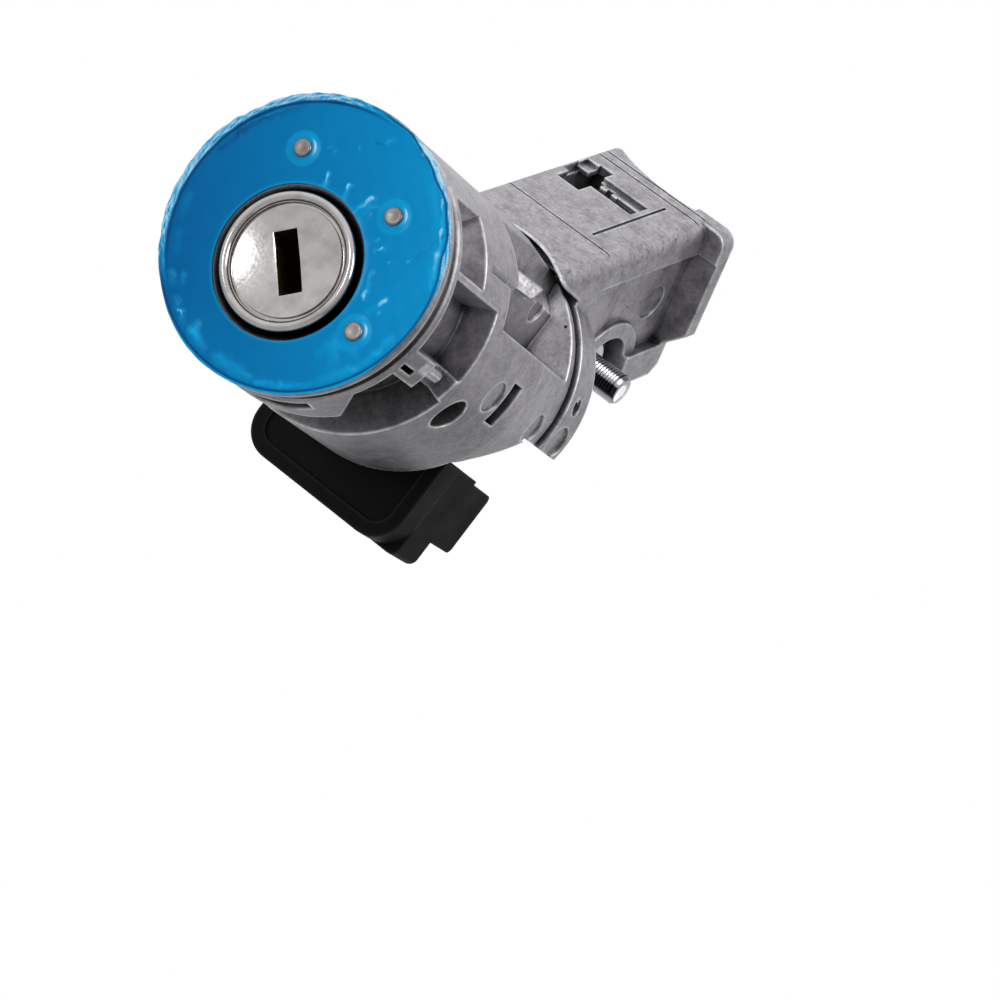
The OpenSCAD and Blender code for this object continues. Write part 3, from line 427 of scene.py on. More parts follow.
def peel_film(name, deep, bright, lifted, torn):
    """Blue polyethylene peel-off film: glossy, with a painted gradient of light and shade from deep on one side
    to brighter on the other, paler where it lifts off the metal and nearly white where it is stretched or
    stands free, partly painted highlights, painted shade in its creases, and hairline scratches."""
    material, tree, here = start_material(name)
    lift = add(tree, "ShaderNodeAttribute", attribute_name="lift").outputs["Fac"]
    crease = add(tree, "ShaderNodeAttribute", attribute_name="crease").outputs["Fac"]
    # Painted light and shade: deep on one side of the film, bright on the other
    side = add(tree, "ShaderNodeVectorMath", {1: (0.86, 0.0, 0.5)}, {0: here}, operation="DOT_PRODUCT")
    across = add(tree, "ShaderNodeMapRange", span(-18 * MM, 18 * MM), {"Value": side.outputs["Value"]})
    clouds = add(tree, "ShaderNodeTexNoise", {"Scale": per_mm(9), "Detail": 3}, {"Vector": here})
    drift = add(tree, "ShaderNodeMath", {1: 0.35, 2: -0.175}, {0: clouds.outputs["Fac"]},
                operation="MULTIPLY_ADD")
    share = add(tree, "ShaderNodeMath", links={0: across.outputs["Result"], 1: drift.outputs[0]},
                operation="ADD")
    tone = add(tree, "ShaderNodeValToRGB", links={"Fac": share.outputs[0]},
               stops=[(0.0, deep), (1.0, bright)])
    loose = add(tree, "ShaderNodeMix", {"B": lifted}, {"Factor": lift, "A": tone.outputs["Color"]},
                data_type="RGBA")
    # Near white where the paleness passes 1: stretched film, and painted glints
    more = add(tree, "ShaderNodeMapRange", span(1.0, 2.0), {"Value": lift})
    white = add(tree, "ShaderNodeMix", {"B": torn},
                {"Factor": more.outputs["Result"], "A": loose.outputs["Result"]}, data_type="RGBA")
    # Painted shade in the creases and at the fold by the rim
    creases_shaded = add(tree, "ShaderNodeMix", {"B": linear("#0b3f74")},
                 {"Factor": crease, "A": white.outputs["Result"]}, data_type="RGBA")
    stretch = add(tree, "ShaderNodeMapping", {"Scale": (per_mm(6), per_mm(6), per_mm(0.35)),
                                              "Rotation": (0, math.radians(35), 0)}, {"Vector": here})
    hair = add(tree, "ShaderNodeTexNoise", {"Scale": 1.0, "Detail": 2}, {"Vector": stretch.outputs["Vector"]})
    bump = add(tree, "ShaderNodeBump", {"Strength": 0.12, "Distance": 0.04 * MM},
               {"Height": hair.outputs["Fac"]})
    skin = add(tree, "ShaderNodeBsdfPrincipled", {"Roughness": 0.18, "IOR": 1.5, "Specular IOR Level": 0.05},
               {"Base Color": creases_shaded.outputs["Result"], "Normal": bump.outputs["Normal"]})
    add(tree, "ShaderNodeOutputMaterial", links={"Surface": skin.outputs["BSDF"]})
    return material


def paper_floor(name):
    """Matt paper: an even pale grey that keeps the object's soft shadow."""
    material, tree, _ = start_material(name)
    skin = add(tree, "ShaderNodeBsdfPrincipled", {"Base Color": linear("#c9c9c9"), "Roughness": 0.9})
    add(tree, "ShaderNodeOutputMaterial", links={"Surface": skin.outputs["BSDF"]})
    return material


def paper_backdrop(name):
    """White paper: plain white where it is seen directly, in metal or through glass, and matt for other
    light."""
    material, tree, _ = start_material(name)
    path = add(tree, "ShaderNodeLightPath")
    seen = add(tree, "ShaderNodeMath", operation="MAXIMUM",
               links={0: path.outputs["Is Camera Ray"], 1: path.outputs["Is Glossy Ray"]})
    seen = add(tree, "ShaderNodeMath", operation="MAXIMUM",
               links={0: seen.outputs[0], 1: path.outputs["Is Transmission Ray"]})
    paper = add(tree, "ShaderNodeBsdfDiffuse", {"Color": linear("#f2f2f2")})
    glow = add(tree, "ShaderNodeEmission", {"Color": (1, 1, 1, 1), "Strength": 1.0})
    mix = add(tree, "ShaderNodeMixShader", links={0: seen.outputs[0], 1: paper.outputs[0], 2: glow.outputs[0]})
    add(tree, "ShaderNodeOutputMaterial", links={"Surface": mix.outputs[0]})
    return material


def soft_surround(name, strength):
    """White studio surround that brightens evenly from below to above."""
    world = bpy.data.worlds.new(name)
    world.use_nodes = True
    tree = world.node_tree
    tree.nodes.clear()
    place = add(tree, "ShaderNodeTexCoord")
    rise = add(tree, "ShaderNodeVectorMath", {1: tuple(CAMERA_UP)}, {0: place.outputs["Generated"]},
               operation="DOT_PRODUCT")
    height = add(tree, "ShaderNodeMapRange", span(-1.0, 1.0, 0.3 * strength, 1.7 * strength),
                 {"Value": rise.outputs["Value"]})
    even = add(tree, "ShaderNodeBackground", {"Color": (1, 1, 1, 1)}, {"Strength": height.outputs["Result"]})
    add(tree, "ShaderNodeOutputWorld", links={"Surface": even.outputs[0]})
    return world


class FilmSettings(bpy.types.PropertyGroup):
    """Colours and relief of the film"""
    # deep and bright: the two ends of a painted gradient of light and shade across the film
    deep: bpy.props.FloatVectorProperty(
        name="Deep blue", description="Film on the far side from the stud",
        subtype="COLOR", size=3, default=linear("#005b96")[:3])
    bright: bpy.props.FloatVectorProperty(
        name="Bright blue", description="Film on the stud's side",
        subtype="COLOR", size=3, default=linear("#0086c0")[:3])
    # lifted and torn: paler film colours that also carry painted highlights and glints
    lifted: bpy.props.FloatVectorProperty(
        name="Lifted film", description="Film where it stands off the metal",
        subtype="COLOR", size=3, default=linear("#0a9cd4")[:3])
    torn: bpy.props.FloatVectorProperty(
        name="Stretched film", description="Film where it is stretched or torn",
        subtype="COLOR", size=3, default=linear("#a6d2e6")[:3])
    fray: bpy.props.FloatProperty(
        name="Fray", description="How far the torn edge stands out past the rim",
        unit="LENGTH", default=0.5 * MM, min=0.0, max=1.5 * MM)
    wrinkle: bpy.props.FloatProperty(
        name="Wrinkles", description="Height of the wrinkles by the plug",
        unit="LENGTH", default=0.32 * MM, min=0.0, max=0.6 * MM)


class MetalSettings(bpy.types.PropertyGroup):
    """Sizes on the cap and the stud"""
    dish: bpy.props.FloatProperty(
        name="Cap dish", description="Depth of the hollow in the cap's face",
        unit="LENGTH", default=0.45 * MM, min=0.0, max=0.5 * MM)
    pitch: bpy.props.FloatProperty(
        name="Thread pitch", description="Pitch of the stud's thread",
        unit="LENGTH", default=0.5 * MM, min=0.4 * MM, max=1.25 * MM)


class StageSettings(bpy.types.PropertyGroup):
    """Floor, backdrop and light"""
    floor: bpy.props.FloatProperty(
        name="Floor", description="Height of the floor", unit="LENGTH", default=-0.26)
    backdrop: bpy.props.FloatProperty(
        name="Backdrop", description="Distance from the camera to the backdrop",
        unit="LENGTH", default=2.6, min=2.0)
    sky: bpy.props.FloatProperty(
        name="Sky", description="Strength of the soft surround at eye level", default=0.72, min=0.0)
    key: bpy.props.FloatProperty(
        name="Key light", description="Power of the large soft lamp above", unit="POWER", default=1.6, min=0.0)
    fill: bpy.props.FloatProperty(
        name="Fill light", description="Power of the small lamp in front", unit="POWER", default=0.35, min=0.0)
    rim: bpy.props.FloatProperty(
        name="Rim light", description="Power of the small lamp behind", unit="POWER", default=0.05, min=0.0)


# Strokes on the film's face: from x, z to x, z, half width, height, and how far the colour pales. Each one
# fades along its length, and a negative last number is a dark line. The paleness is partly the lifted film's
# own colour and partly a painted highlight on the wrinkles, and the dark lines join the creases' painted shade.
STROKES = (
    (-2.8, 12.0, -2.4, 10.4, 0.30, 1.0, 1.8), (0.5, 12.6, 0.7, 10.9, 0.28, 1.0, 1.8),
    (4.2, 12.9, 3.3, 10.2, 0.34, 1.0, 1.7), (4.9, 11.9, 4.3, 9.9, 0.5, 0.5, 0.6),
    (9.5, 8.6, 9.1, 7.6, 0.28, 0.9, 1.7), (8.3, 9.1, 8.1, 8.6, 0.16, 0.6, 1.0),
    (11.4, 7.6, 11.3, 7.3, 0.15, 0.7, 1.6), (13.7, 9.3, 13.5, 9.0, 0.15, 0.7, 1.6),
    (11.6, 2.3, 10.3, 5.4, 0.3, 0.7, 1.2), (12.0, 1.9, 11.5, 3.0, 0.22, 0.7, 1.2),
    (14.3, 3.6, 14.2, 2.6, 0.3, 0.9, 1.7), (14.6, 1.7, 14.5, 1.4, 0.16, 0.7, 1.4),
    (14.2, 2.8, 12.6, -0.6, 0.45, 0.3, 0.5), (1.0, 19.5, 1.6, 20.8, 0.2, 0.8, 0.9),
    (0.0, 19.1, 1.0, 19.5, 0.14, 0.9, -0.6), (-1.7, 17.2, -1.5, 17.2, 0.2, 0.4, 0.6),
    (-5.2, 14.9, -4.4, 15.4, 0.2, 0.5, 0.6), (-4.2, 14.6, -4.0, 15.2, 0.2, 0.4, 0.5),
    (15.7, 15.2, 13.8, 9.2, 0.09, -0.3, -0.5), (6.6, 21.6, 4.0, 22.1, 0.4, 0.7, 1.5),
    (6.4, 21.7, 10.4, 20.0, 0.38, 0.8, 1.3), (9.8, 20.3, 12.8, 17.7, 0.3, 0.9, 1.1),
    (12.4, 17.9, 15.0, 14.6, 0.25, 0.8, 1.0), (14.8, 14.8, 16.5, 12.0, 0.3, 0.9, 1.0),
    (16.4, 12.0, 18.3, 8.0, 0.5, 0.6, 0.9), (12.0, -3.9, 11.4, -7.0, 0.7, 0.2, 0.5),
    (13.4, -4.4, 15.8, -4.2, 0.6, 0.2, 0.5), (12.6, -4.9, 13.6, -7.4, 0.8, 0.2, 0.5),
    (18.0, -0.2, 17.8, -2.6, 0.5, 0.4, 0.8), (17.9, -2.4, 16.6, -6.2, 0.5, 0.3, 0.7),
    (16.2, -6.2, 13.6, -9.8, 0.6, 0.3, 0.7), (-5.0, -14.5, -2.4, -15.4, 0.6, 0.5, 0.8),
    (0.2, -15.2, 4.4, -15.6, 0.7, 0.4, 0.6), (5.4, -14.8, 2.0, -14.6, 0.5, 0.4, 0.6),
    (7.0, -14.6, 9.6, -13.3, 0.5, 0.5, 0.8), (10.0, -13.0, 13.2, -10.8, 0.5, 0.4, 0.7),
    (-8.4, -13.6, -7.8, -13.2, 0.16, 1.0, 2.0), (-7.8, -13.4, -7.4, -14.0, 0.14, 0.8, 1.6),
    (-12.6, -10.3, -11.2, -11.2, 0.5, 0.3, 0.4), (-10.8, -9.4, -10.2, -10.6, 0.4, 0.3, 0.4),
    (-4.9, -13.6, -4.2, -14.8, 0.6, 0.3, 0.6), (-17.6, 6.4, -16.7, 10.2, 0.4, 0.3, -0.5),
    (-16.9, 9.4, -15.2, 13.0, 0.45, 0.4, -0.6), (-15.6, 12.3, -11.6, 17.3, 0.35, 0.3, -0.5),
    (-17.0, 11.2, -14.2, 15.0, 0.14, 0.5, 0.5), (-15.0, -5.6, -14.0, -7.6, 0.7, 0.15, 0.2),
    (-17.2, -1.0, -16.4, -3.6, 0.6, 0.15, 0.2), (-9.6, -12.6, -6.6, -14.4, 0.5, 0.3, 0.35),
)


class SWITCH_OT_film(bpy.types.Operator):
    """Blue peel-off film on the head's face"""
    bl_idname = "ignition.film"
    bl_label = "Peel-off film"

    def execute(self, context):
        """Front sheet (r cos a, -lift(r, a), z0 + r sin a) from the hole round the plug to a torn edge R(a), a
        circle plus a sum of sines. The lift is a sum of bells exp(-(distance to a stroke / width)^2), a crease
        inside the rim, a rise round each pin and a waved free edge. The back sheet lies on the rim and follows
        the free edge, and the two close at both edges. The attribute lift carries the paleness, from 0 lying
        flat to 2 torn, partly painted highlights and glints, and the second attribute the dark lines, painted
        shade."""
        look = context.scene.switch_film
        fray, high = look.fray / MM, look.wrinkle / MM
        rng = np.random.default_rng(7)
        a = np.arange(FILM_SIDES) * TURN / FILM_SIDES
        angle = np.degrees(a)

        # Stretches of the edge: standing free, frayed over the rim, folded on the right, and below
        free = band((angle + 20) % 360 - 180, -78, -45, 45, 75)
        over = band(angle, 4, 30, 62, 92)
        right = band(angle, 8, 24, 84, 100)
        under = band(angle, 225, 255, 330, 352)

        # Points from the hole to the torn edge, and the same points warped, so that strokes run unevenly
        hole = -BARREL_Z * np.sin(a) + np.sqrt(HOLE_R ** 2 - (BARREL_Z * np.cos(a)) ** 2)
        torn = sum(rng.uniform(0.4, 1.0) / k ** 0.5 * np.sin(k * a + rng.uniform(0, TURN))
                   for k in (7, 11, 17, 29, 43, 67, 101, 149))
        edge = (FILM_R + fray * (0.4 * free + 0.6 * over + 0.5 * under)
                + 0.2 * torn * (0.3 + 0.8 * free + 0.6 * over))
        t = np.concatenate([np.linspace(0, 0.88, FACE_ROWS), np.linspace(0.89, 1, EDGE_ROWS)])[:, None]
        r = hole + t * (edge - hole)
        x, z = r * np.cos(a), r * np.sin(a) + BARREL_Z
        warp_x = x + 0.12 * np.sin(3.1 * z + 1.7 * x) + 0.07 * np.sin(7.3 * x - 2.1 * z)
        warp_z = z + 0.12 * np.sin(2.7 * x - 1.9 * z) + 0.07 * np.sin(6.7 * z + 2.9 * x)

        # Edge of the hole, painted shade in the crease and at the fold by the rim, and the paler stretch on the
        # right, partly a painted highlight
        lift = 0.05 * bell(r - hole, 0.4)
        fold = FOLD_R + right * (-0.14 + 0.16 * np.sin(9 * a + 1.0) + 0.1 * np.sin(23 * a))
        crease = bell(r - CREASE_R, 0.2) * free + 0.85 * bell(r - fold, 0.16) * (1 - free)
        pale_and_glint = 0.5 * bell(r - hole, 0.3) + 0.5 * bell(r - 18.5, 0.9) * right * (1 - smooth(50, 75, angle))

        for x0, z0, x1, z1, wide, tall, tint in STROKES:
            along = np.array([x1 - x0, z1 - z0])
            u, v = warp_x - x0, warp_z - z0
            share = np.clip((u * along[0] + v * along[1]) / (along @ along), 0, 1)
            mark = bell(np.hypot(u - share * along[0], v - share * along[1]), wide) * (1 - 0.6 * share)
            lift = lift + high * tall * min(1.0, 2.2 * wide) * mark
            pale_and_glint = pale_and_glint + max(tint, 0) * mark
            crease = crease + max(-tint, 0) * mark

        # A paler patch round each pin, and a painted glint: a bright crescent on the side towards the light
        for pin in FACE_PINS:
            px, pz = pin_centre(*pin)
            d = np.hypot(x - px, z - pz)
            way = np.clip(((x - px) * 0.77 + (z - pz) * 0.64) / np.maximum(d, 0.1), 0, 1)
            pale_and_glint = np.maximum(pale_and_glint, 0.5 * (1 - smooth(2.3, 2.55, d))) + 1.6 * way ** 4 * bell(d - 1.7, 0.2)
            lift = lift + 0.12 * (1 - smooth(1.2, 2.5, d))

        # Crinkled free edge past the crease, and a crinkled lip past the fold, both paler, partly a painted
        # highlight
        past = smooth(18.95, 19.25, r) * free
        ripple = [np.sin(k * a + rng.uniform(0, TURN) + 4 * np.sin(m * a) + slope * r)
                  for k, m, slope in ((13, 3, 4), (29, 7, -8), (53, 5, 10), (83, 11, -6), (119, 13, 12))]
        crinkle = 0.3 + 0.45 * ripple[0] * ripple[1] + 0.3 * ripple[2] + 0.4 * ripple[3] * ripple[4]
        wave = 0.1 * ripple[0] + 0.08 * ripple[1] + 0.05 * ripple[2]
        lip = smooth(0.05, 0.3, r - fold) * (1 - free)
        lip = lip * (right * (1.1 + crinkle) + under * (0.6 + 0.5 * crinkle))
        pale_and_glint = np.clip(pale_and_glint + past * (1.2 + 0.9 * crinkle) + lip, 0, 2)
        lift = lift - 0.1 * crease + past * (0.16 + wave)
        lift = lift + 0.012 * np.sin(2.1 * x + 0.7 * z) * np.sin(1.3 * z - 0.4 * x)
        lift = np.clip(lift, -0.1, 0.6)

        rows = list(range(len(t) - 1, len(t) - EDGE_ROWS, -1)) + [60, 30, 0]
        hang = smooth(0.45, 0.05, edge - r)
        front = np.stack([x, -lift, z], -1)
        back = np.stack([x, FILM_BACK + hang * np.minimum(0.1 - lift - FILM_BACK, 0), z], -1)[rows]
        piece = solid("peel_film", [np.concatenate([front, back])], wrap_rows=True, sharp=60)
        for name, values in (("lift", pale_and_glint), ("crease", np.clip(crease, 0, 1))):
            layer = piece.data.attributes.new(name, "FLOAT", "POINT")
            both = np.concatenate([values, values[rows]])
            layer.data.foreach_set("value", both.astype(np.float32).ravel())
        colours = [(*c, 1.0) for c in (look.deep, look.bright, look.lifted, look.torn)]
        finish_piece(piece, "housing", "protective_film", peel_film("polyethylene_film", *colours))
        return {"FINISHED"}


class SWITCH_OT_cap(bpy.types.Operator):
    """Chromed plug cap with its keyway"""
    bl_idname = "ignition.cap"
    bl_label = "Plug cap"

    def execute(self, context):
        """Profile (radius, height) carried round the plug's axis. Rings inside it blend from a circle to the
        keyway's rectangle, whose edge in direction a is min(l / |cos a|, w / |sin a|), and the face is a
        paraboloid, dish * (1 - (r / R)^2)."""
        dish = context.scene.switch_metal.dish / MM
        arc = np.linspace(math.radians(200), math.radians(5), 16)
        hollow = [(s * DISH_R, CAP_FACE + dish * (1 - s * s)) for s in np.linspace(0.78, 1.0, 8)]
        groove = [(7.46, CAP_FACE + 0.03), (7.54, CAP_FACE + 0.42), (7.84, CAP_FACE + 0.42),
                  (7.95, CAP_FACE - 0.02), (8.05, CAP_FACE - 0.1)]
        bead = [(CAP_R - BEAD_R + BEAD_R * math.cos(q), CAP_FACE - BEAD_R * math.sin(q)) for q in arc]
        skirt = [(CAP_R, 0.0), (CAP_R, 4.6), (9.3, 4.8), (8.85, 4.8), (8.75, 4.7), (8.72, 0.75), (8.5, 0.48),
                 (6.0, CAP_BACK)]
        outer = np.array(hollow + groove + bead + skirt)
        a = np.arange(256) * TURN / 256
        slot = np.minimum(KEYWAY_L / 2 / np.maximum(np.abs(np.cos(a)), 1e-6),
                          KEYWAY_W / 2 / np.maximum(np.abs(np.sin(a)), 1e-6))
        rim = slot + 0.12
        r = rim + np.linspace(0, 1, 14)[1:-1, None] * (outer[0, 0] - rim)
        y = CAP_FACE + dish * (1 - (r / DISH_R) ** 2)
        radius = np.stack([slot, slot, slot + 0.03, *r])
        height = np.stack([np.full_like(a, CAP_BACK), y[0] + 0.1, y[0] + 0.03, *y])
        radius = np.concatenate([radius, np.repeat(outer[:, :1], len(a), 1)])
        height = np.concatenate([height, np.repeat(outer[:, 1:], len(a), 1)])
        way = a - math.radians(KEYWAY_ANGLE)
        grid = np.stack([radius * np.cos(way), height, radius * np.sin(way)], -1)
        piece = solid("chrome_cap", [grid], wrap_rows=True, sharp=35)
        # Satin chrome: warm grey and nearly a mirror
        finish_piece(piece, "plug", "plug_cap",
                     plated_metal("satin_chrome", "#b7b4b2", "#a09d9c", 0.12, 0.5))
        return {"FINISHED"}


class SWITCH_OT_pins(bpy.types.Operator):
    """Locating pins in the face"""
    bl_idname = "ignition.pins"
    bl_label = "Face pins"

    def execute(self, context):
        """Turned profile with a broken edge and a slightly hollow end, placed at each pin's angle."""
        profile = [(0.02, 0.06), (0.5, 0.04), (0.95, 0.0), (1.1, 0.02), (1.2, 0.1), (PIN_R, 0.22),
                   (PIN_R, PIN_PROUD + PIN_DEPTH)]

        def place(distance, angle):
            px, pz = pin_centre(distance, angle)
            return lambda u, v, h: np.stack([px + u, h - PIN_PROUD, pz + v], -1)

        piece = solid("face_pins", [turned(profile, 48, place(*pin)) for pin in FACE_PINS], sharp=45)
        # Drawn steel: brownish grey with a soft gloss
        finish_piece(piece, "housing", "locating_pins",
                     plated_metal("drawn_steel_pin", "#8a8483", "#6b6766", 0.3, 0.35))
        return {"FINISHED"}


class SWITCH_OT_stud(bpy.types.Operator):
    """Threaded stud and its collar"""
    bl_idname = "ignition.stud"
    bl_label = "Stud and collar"

    def execute(self, context):
        """Thread: r(x, a) = crest - depth * |2 frac(x / pitch - a / turn) - 1|, flattened at crest and root and
        faded out at both ends, then a chamfer and a flat end. Collar: a turned ring with broken edges."""
        pitch = context.scene.switch_metal.pitch / MM

        def place(u, v, x):
            return in_box(x, STUD_B + u, STUD_C + v)

        a = np.arange(72) * TURN / 72
        x = np.concatenate([[0.0, THREAD_START - 0.1], np.linspace(THREAD_START, THREAD_END, THREAD_ROWS),
                            [14.4, 14.65, 14.85, 14.9, 14.9]])
        crest = np.concatenate([[SHANK_R, SHANK_R], np.full(THREAD_ROWS, STUD_R), [2.42, 2.25, 2.06, 1.9, 0.9]])
        depth = 0.17 * band(x, 7.9, 8.6, 13.7, THREAD_END)
        saw = (x[:, None] / pitch - a / TURN) % 1.0
        r = crest[:, None] - depth[:, None] * np.clip(1.25 * np.abs(2 * saw - 1) - 0.12, 0, 1)
        grid = place(r * np.cos(a), r * np.sin(a), np.broadcast_to(x[:, None], r.shape))
        piece = solid("threaded_stud", [grid], sharp=50)
        # Where the stud's painted highlight and painted shade fall: from its axis towards its underside
        axis, lower = in_box(0.0, STUD_B, STUD_C), 0.823 * DOWN - 0.568 * ALONG
        finish_piece(piece, "housing", "mounting_stud",
                     painted_light_zinc_plate("bright_zinc_plate", axis, lower, STUD_R))
        ring = [(2.26, 6.32), (3.9, 6.32), (4.1, 6.5), (4.1, 7.5), (3.85, 7.78), (2.9, 7.8), (2.5, 7.66),
                (2.26, 7.66)]
        collar = solid("stud_collar_ring", [turned(ring, 72, place)], wrap_rows=True, sharp=30)
        # Zinc plate, unpolished and matt, made nearly white as a painted highlight
        finish_piece(collar, "housing", "stud_collar",
                     plated_metal("bright_zinc_collar", "#fafafb", "#eeeef0", 0.5, 0.4, 0.1))
        return {"FINISHED"}


class SWITCH_OT_springs(bpy.types.Operator):
    """Bolt spring and tumbler springs"""
    bl_idname = "ignition.springs"
    bl_label = "Springs"

    def execute(self, context):
        """Helices of round wire."""
        # Spring steel: cool grey, drawn smooth
        wire = plated_metal("spring_steel", "#a9acb2", "#83868c", 0.3, 0.3)
        start, end, middle = 3.9, 29.5, 13.6

        def place(u, v, h):
            return in_box(u, start + h, middle + v)

        helix = coil(radius=2.55, wire=0.7, length=end - start, turns=9, steps=32, sides=12, place=place)
        piece = solid("bolt_spring_coil", [helix])
        finish_piece(piece, "housing", "bolt_spring", wire)
        anchor = in_box(0.0, start, middle) * MM
        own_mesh(piece)

        def well(index):
            y = TUMBLER_FRONT + TUMBLER_STEP * index + TUMBLER_THICK / 2
            c, s = math.cos(math.radians(KEYWAY_ANGLE)), math.sin(math.radians(KEYWAY_ANGLE))

            def seat(u, v, h):
                x, z = WELL_X + h, WELL_Z + u
                return np.stack([x * c + z * s, y + v, -x * s + z * c], -1)

            return seat

        grids = [coil(radius=0.5, wire=0.22, length=4.6, turns=6, steps=14, sides=6, place=well(i))
                 for i in range(TUMBLERS)]
        small = solid("tumbler_spring_coils", grids)
        finish_piece(small, "plug", "tumbler_springs", wire)
        return {"FINISHED"}


class SWITCH_OT_plate(bpy.types.Operator):
    """Pressed cover on the far side of the bolt box"""
    bl_idname = "ignition.plate"
    bl_label = "Pressed cover"

    def execute(self, context):
        """Plate over (b, c) whose outline is a rounded rectangle, |u|^n + |v|^n = 1 with n = 14, drawn in rings
        from the middle. A pressed panel steps in by the smooth step of the ring's share, the edge is rounded
        off, and a bell stands at each corner where the plate is peened down."""
        outer, inner, panel, peen_high = -10.74, -9.97, 0.35, 0.22
        u, v = rounded_square(14.0, 240)
        share = np.concatenate([np.linspace(0.01, 0.7, 18), np.linspace(0.71, 0.9, 14),
                                [0.93, 0.96, 0.985, 1.0]])[:, None]
        b, down = 19.0 + 10.95 * share * u, 13.0 + 7.95 * share * v
        step = panel * (1 - smooth(0.72, 0.86, share))
        peen = sum(peen_high * bell((b - pb) ** 2 + (down - pc) ** 2, 0.9)
                   for pb in (9.6, 28.4) for pc in (6.6, 19.4))
        front = in_box(outer + step - peen + 0.1 * smooth(0.96, 1.0, share), b, down)
        back = in_box(inner + step, b, down)[::-1]
        piece = solid("pressed_cover", [np.concatenate([front, back])], sharp=50)
        # Zinc-plated sheet: pale cool grey with a soft gloss
        finish_piece(piece, "housing", "side_cover",
                     plated_metal("zinc_plated_sheet", "#c9cbd0", "#a9acb2", 0.28, 0.6))
        return {"FINISHED"}


class SWITCH_OT_stubs(bpy.types.Operator):
    """Trimmed gate stubs in the barrel's side windows"""
    bl_idname = "ignition.stubs"
    bl_label = "Gate stubs"

    def execute(self, context):
        """Rounded rectangle |u|^n + |v|^n = 1 with n = 10, carried back along Y while its outer side runs in to
        the window's wall, drawn in at the front by a small round and sheared aslant, y = y0 + p x + q z. The
        left one is the right one mirrored."""
        length, front, middle_z, half_z, inner = 6.0, 39.6, 17.1, 1.15, 8.4
        u, v = rounded_square(10.0, 64)
        back = np.array([0.0, 0.06, 0.2, 0.45, 2.0, 4.0, length])[:, None]
        draw = np.array([0.28, 0.1, 0.02, 0.0, 0.0, 0.0, 0.0])[:, None]
        outer = 12.5 - 2.6 * back / length
        x = (outer + inner) / 2 + u * ((outer - inner) / 2 - draw)
        z = middle_z + v * (half_z - draw)
        right = np.stack([x, front + back + 0.88 * (x - 10) + 0.52 * (z - middle_z), z], -1)
        piece = solid("gate_stubs", [right, right[::-1] * [-1, 1, 1]], sharp=35)
        # Sheared zinc: fresh metal, brighter than the cast skin
        piece.data.materials.append(plated_metal("sheared_zinc", "#a4a2a6", "#8c8a8e", 0.5, 0.5))
        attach(piece, "housing")
        return {"FINISHED"}


class SWITCH_OT_castings(bpy.types.Operator):
    """Finishes of the castings, mouldings and inner pieces that keep their solids' shape"""
    bl_idname = "ignition.castings"
    bl_label = "Castings and mouldings"

    def execute(self, context):
        """Gives each solid that shows itself its finish, and ground steel where none is named."""
        steel = plated_metal("ground_steel", "#b4b7bc", "#8c8f95", 0.3, 0.4)      # cool grey, soft gloss
        brass = plated_metal("machined_brass", "#c8a85c", "#a3853c", 0.3, 0.5)    # clear yellow, soft gloss
        black = moulded_plastic("black_abs", "#040404", "#080808", 0.6)
        finishes = {
            # The last two numbers scale the upper pockets and their sideways walls: painted light
            "barrel_housing": die_cast_zinc("die_cast_zinc", "#aca9ad", "#8d8b90", 3.4, 0.5),
            "lock_body": die_cast_zinc("die_cast_zinc_body", "#aaa7ab", "#858388", 0.62, 1.2),
            "switch_cover": black,
            "switch_housing": moulded_plastic("black_abs_base", "#030303", "#070707", 0.6),
            "rotor_cap": black,
            "switch_rotor": moulded_plastic("grey_acetal", "#3b3c3e", "#454648", 0.45),
            # pale, matt and even, as pressed powder is, and lightened further as painted light, as it sits in a
            # shaded window
            "bolt_carrier": plated_metal("sintered_slider", "#fbf8f3", "#efebe5", 0.55, 0.6),
            # browned by handling and grease
            "lock_plug": plated_metal("dull_brass", "#7c6a3e", "#5f5130", 0.4, 0.5),
            "tumblers": brass,
            "contact_bridge": brass,
            "connector_terminals": brass,
        }
        for name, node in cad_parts.items():
            if node.hide_render:
                continue
            node.data.materials.clear()
            node.data.materials.append(finishes.get(name, steel))
        return {"FINISHED"}


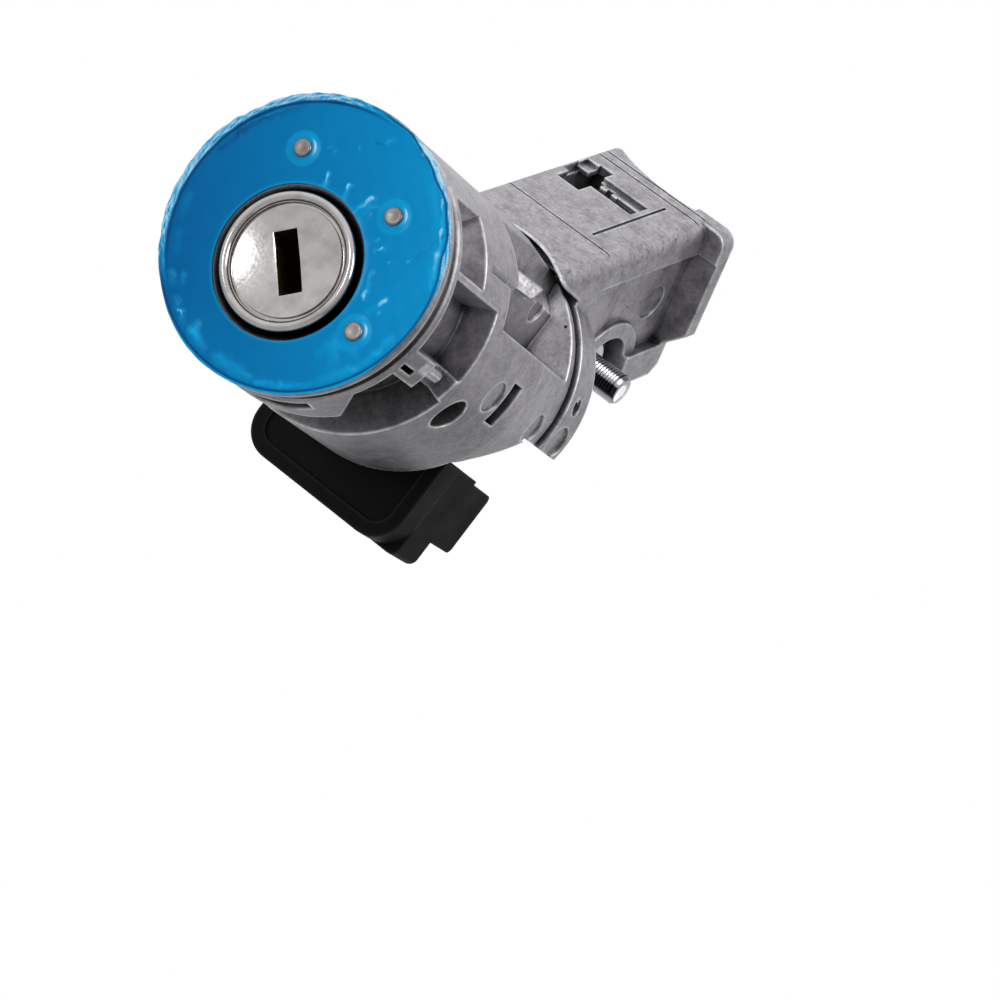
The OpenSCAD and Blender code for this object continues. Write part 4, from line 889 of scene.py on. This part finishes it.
class SWITCH_OT_stage(bpy.types.Operator):
    """Floor, backdrop, light and camera"""
    bl_idname = "ignition.stage"
    bl_label = "Stage"

    def execute(self, context):
        """Pale floor, white backdrop, a soft surround that brightens upwards, three soft lamps, and a camera
        fitted to the head's face and the bolt box."""
        scene, look = context.scene, context.scene.switch_stage
        scene.view_settings.view_transform = "Standard"
        floor = round_sheet("floor", np.array([0.0, 0.0, look.floor / MM]), (1, 0, 0), (0, 1, 0), FLOOR_R)
        floor.data.materials.append(paper_floor("pale_paper_floor"))
        behind = np.array(CAMERA_EYE - CAMERA_BACK * look.backdrop) / MM
        backdrop = round_sheet("backdrop", behind, CAMERA_RIGHT, CAMERA_UP, BACKDROP_R)
        backdrop.data.materials.append(paper_backdrop("white_backdrop"))
        scene.world = soft_surround("soft_surround", look.sky)
        for name, way, size in LAMPS:
            lamp = bpy.data.lights.new(name, "AREA")
            lamp.shape, lamp.size, lamp.energy = "DISK", size, getattr(look, name)
            holder = bpy.data.objects.new(name, lamp)
            holder.location = LAMP_AIM + Vector(way).normalized() * LAMP_REACH
            holder.rotation_euler = (LAMP_AIM - holder.location).to_track_quat("-Z", "Y").to_euler()
            scene.collection.objects.link(holder)
        camera = bpy.data.cameras.new("camera")
        camera.sensor_width, camera.lens = CAMERA_SENSOR, CAMERA_LENS
        camera.clip_start, camera.clip_end = 0.02, 20.0
        holder = bpy.data.objects.new("camera", camera)
        turn = Matrix((CAMERA_RIGHT, CAMERA_UP, CAMERA_BACK)).transposed().to_4x4()
        holder.matrix_world = Matrix.Translation(CAMERA_EYE) @ turn
        scene.collection.objects.link(holder)
        scene.camera = holder
        return {"FINISHED"}


class SWITCH_PT_panel(bpy.types.Panel):
    """Lists the settings and the operators"""
    bl_label = "Ignition switch"
    bl_idname = "SWITCH_PT_panel"
    bl_space_type = "VIEW_3D"
    bl_region_type = "UI"
    bl_category = "Ignition switch"

    def draw(self, context):
        """One box for each group of settings, then a button for each operator."""
        for name in GROUPS:
            box = self.layout.box()
            group = getattr(context.scene, name)
            for prop in group.__annotations__:
                box.prop(group, prop)
        for operator in OPERATORS:
            self.layout.operator(operator.bl_idname)


GROUPS = {"switch_film": FilmSettings, "switch_metal": MetalSettings, "switch_stage": StageSettings}
OPERATORS = (SWITCH_OT_film, SWITCH_OT_cap, SWITCH_OT_pins, SWITCH_OT_stud, SWITCH_OT_springs, SWITCH_OT_plate,
             SWITCH_OT_stubs, SWITCH_OT_castings, SWITCH_OT_stage)


def register():
    """Registers the classes and hangs the settings on the scene."""
    for group in (*GROUPS.values(), *OPERATORS, SWITCH_PT_panel):
        bpy.utils.register_class(group)
    for name, group in GROUPS.items():
        setattr(bpy.types.Scene, name, bpy.props.PointerProperty(type=group))


def unregister():
    """Takes the settings off the scene and unregisters the classes."""
    for name in GROUPS:
        delattr(bpy.types.Scene, name)
    for group in (SWITCH_PT_panel, *reversed(OPERATORS), *reversed(list(GROUPS.values()))):
        bpy.utils.unregister_class(group)


def main():
    """Makes every piece and the stage."""
    register()
    bpy.ops.ignition.film()
    bpy.ops.ignition.cap()
    bpy.ops.ignition.pins()
    bpy.ops.ignition.stud()
    bpy.ops.ignition.springs()
    bpy.ops.ignition.plate()
    bpy.ops.ignition.stubs()
    bpy.ops.ignition.castings()
    bpy.ops.ignition.stage()


if __name__ == "__main__":
    main()
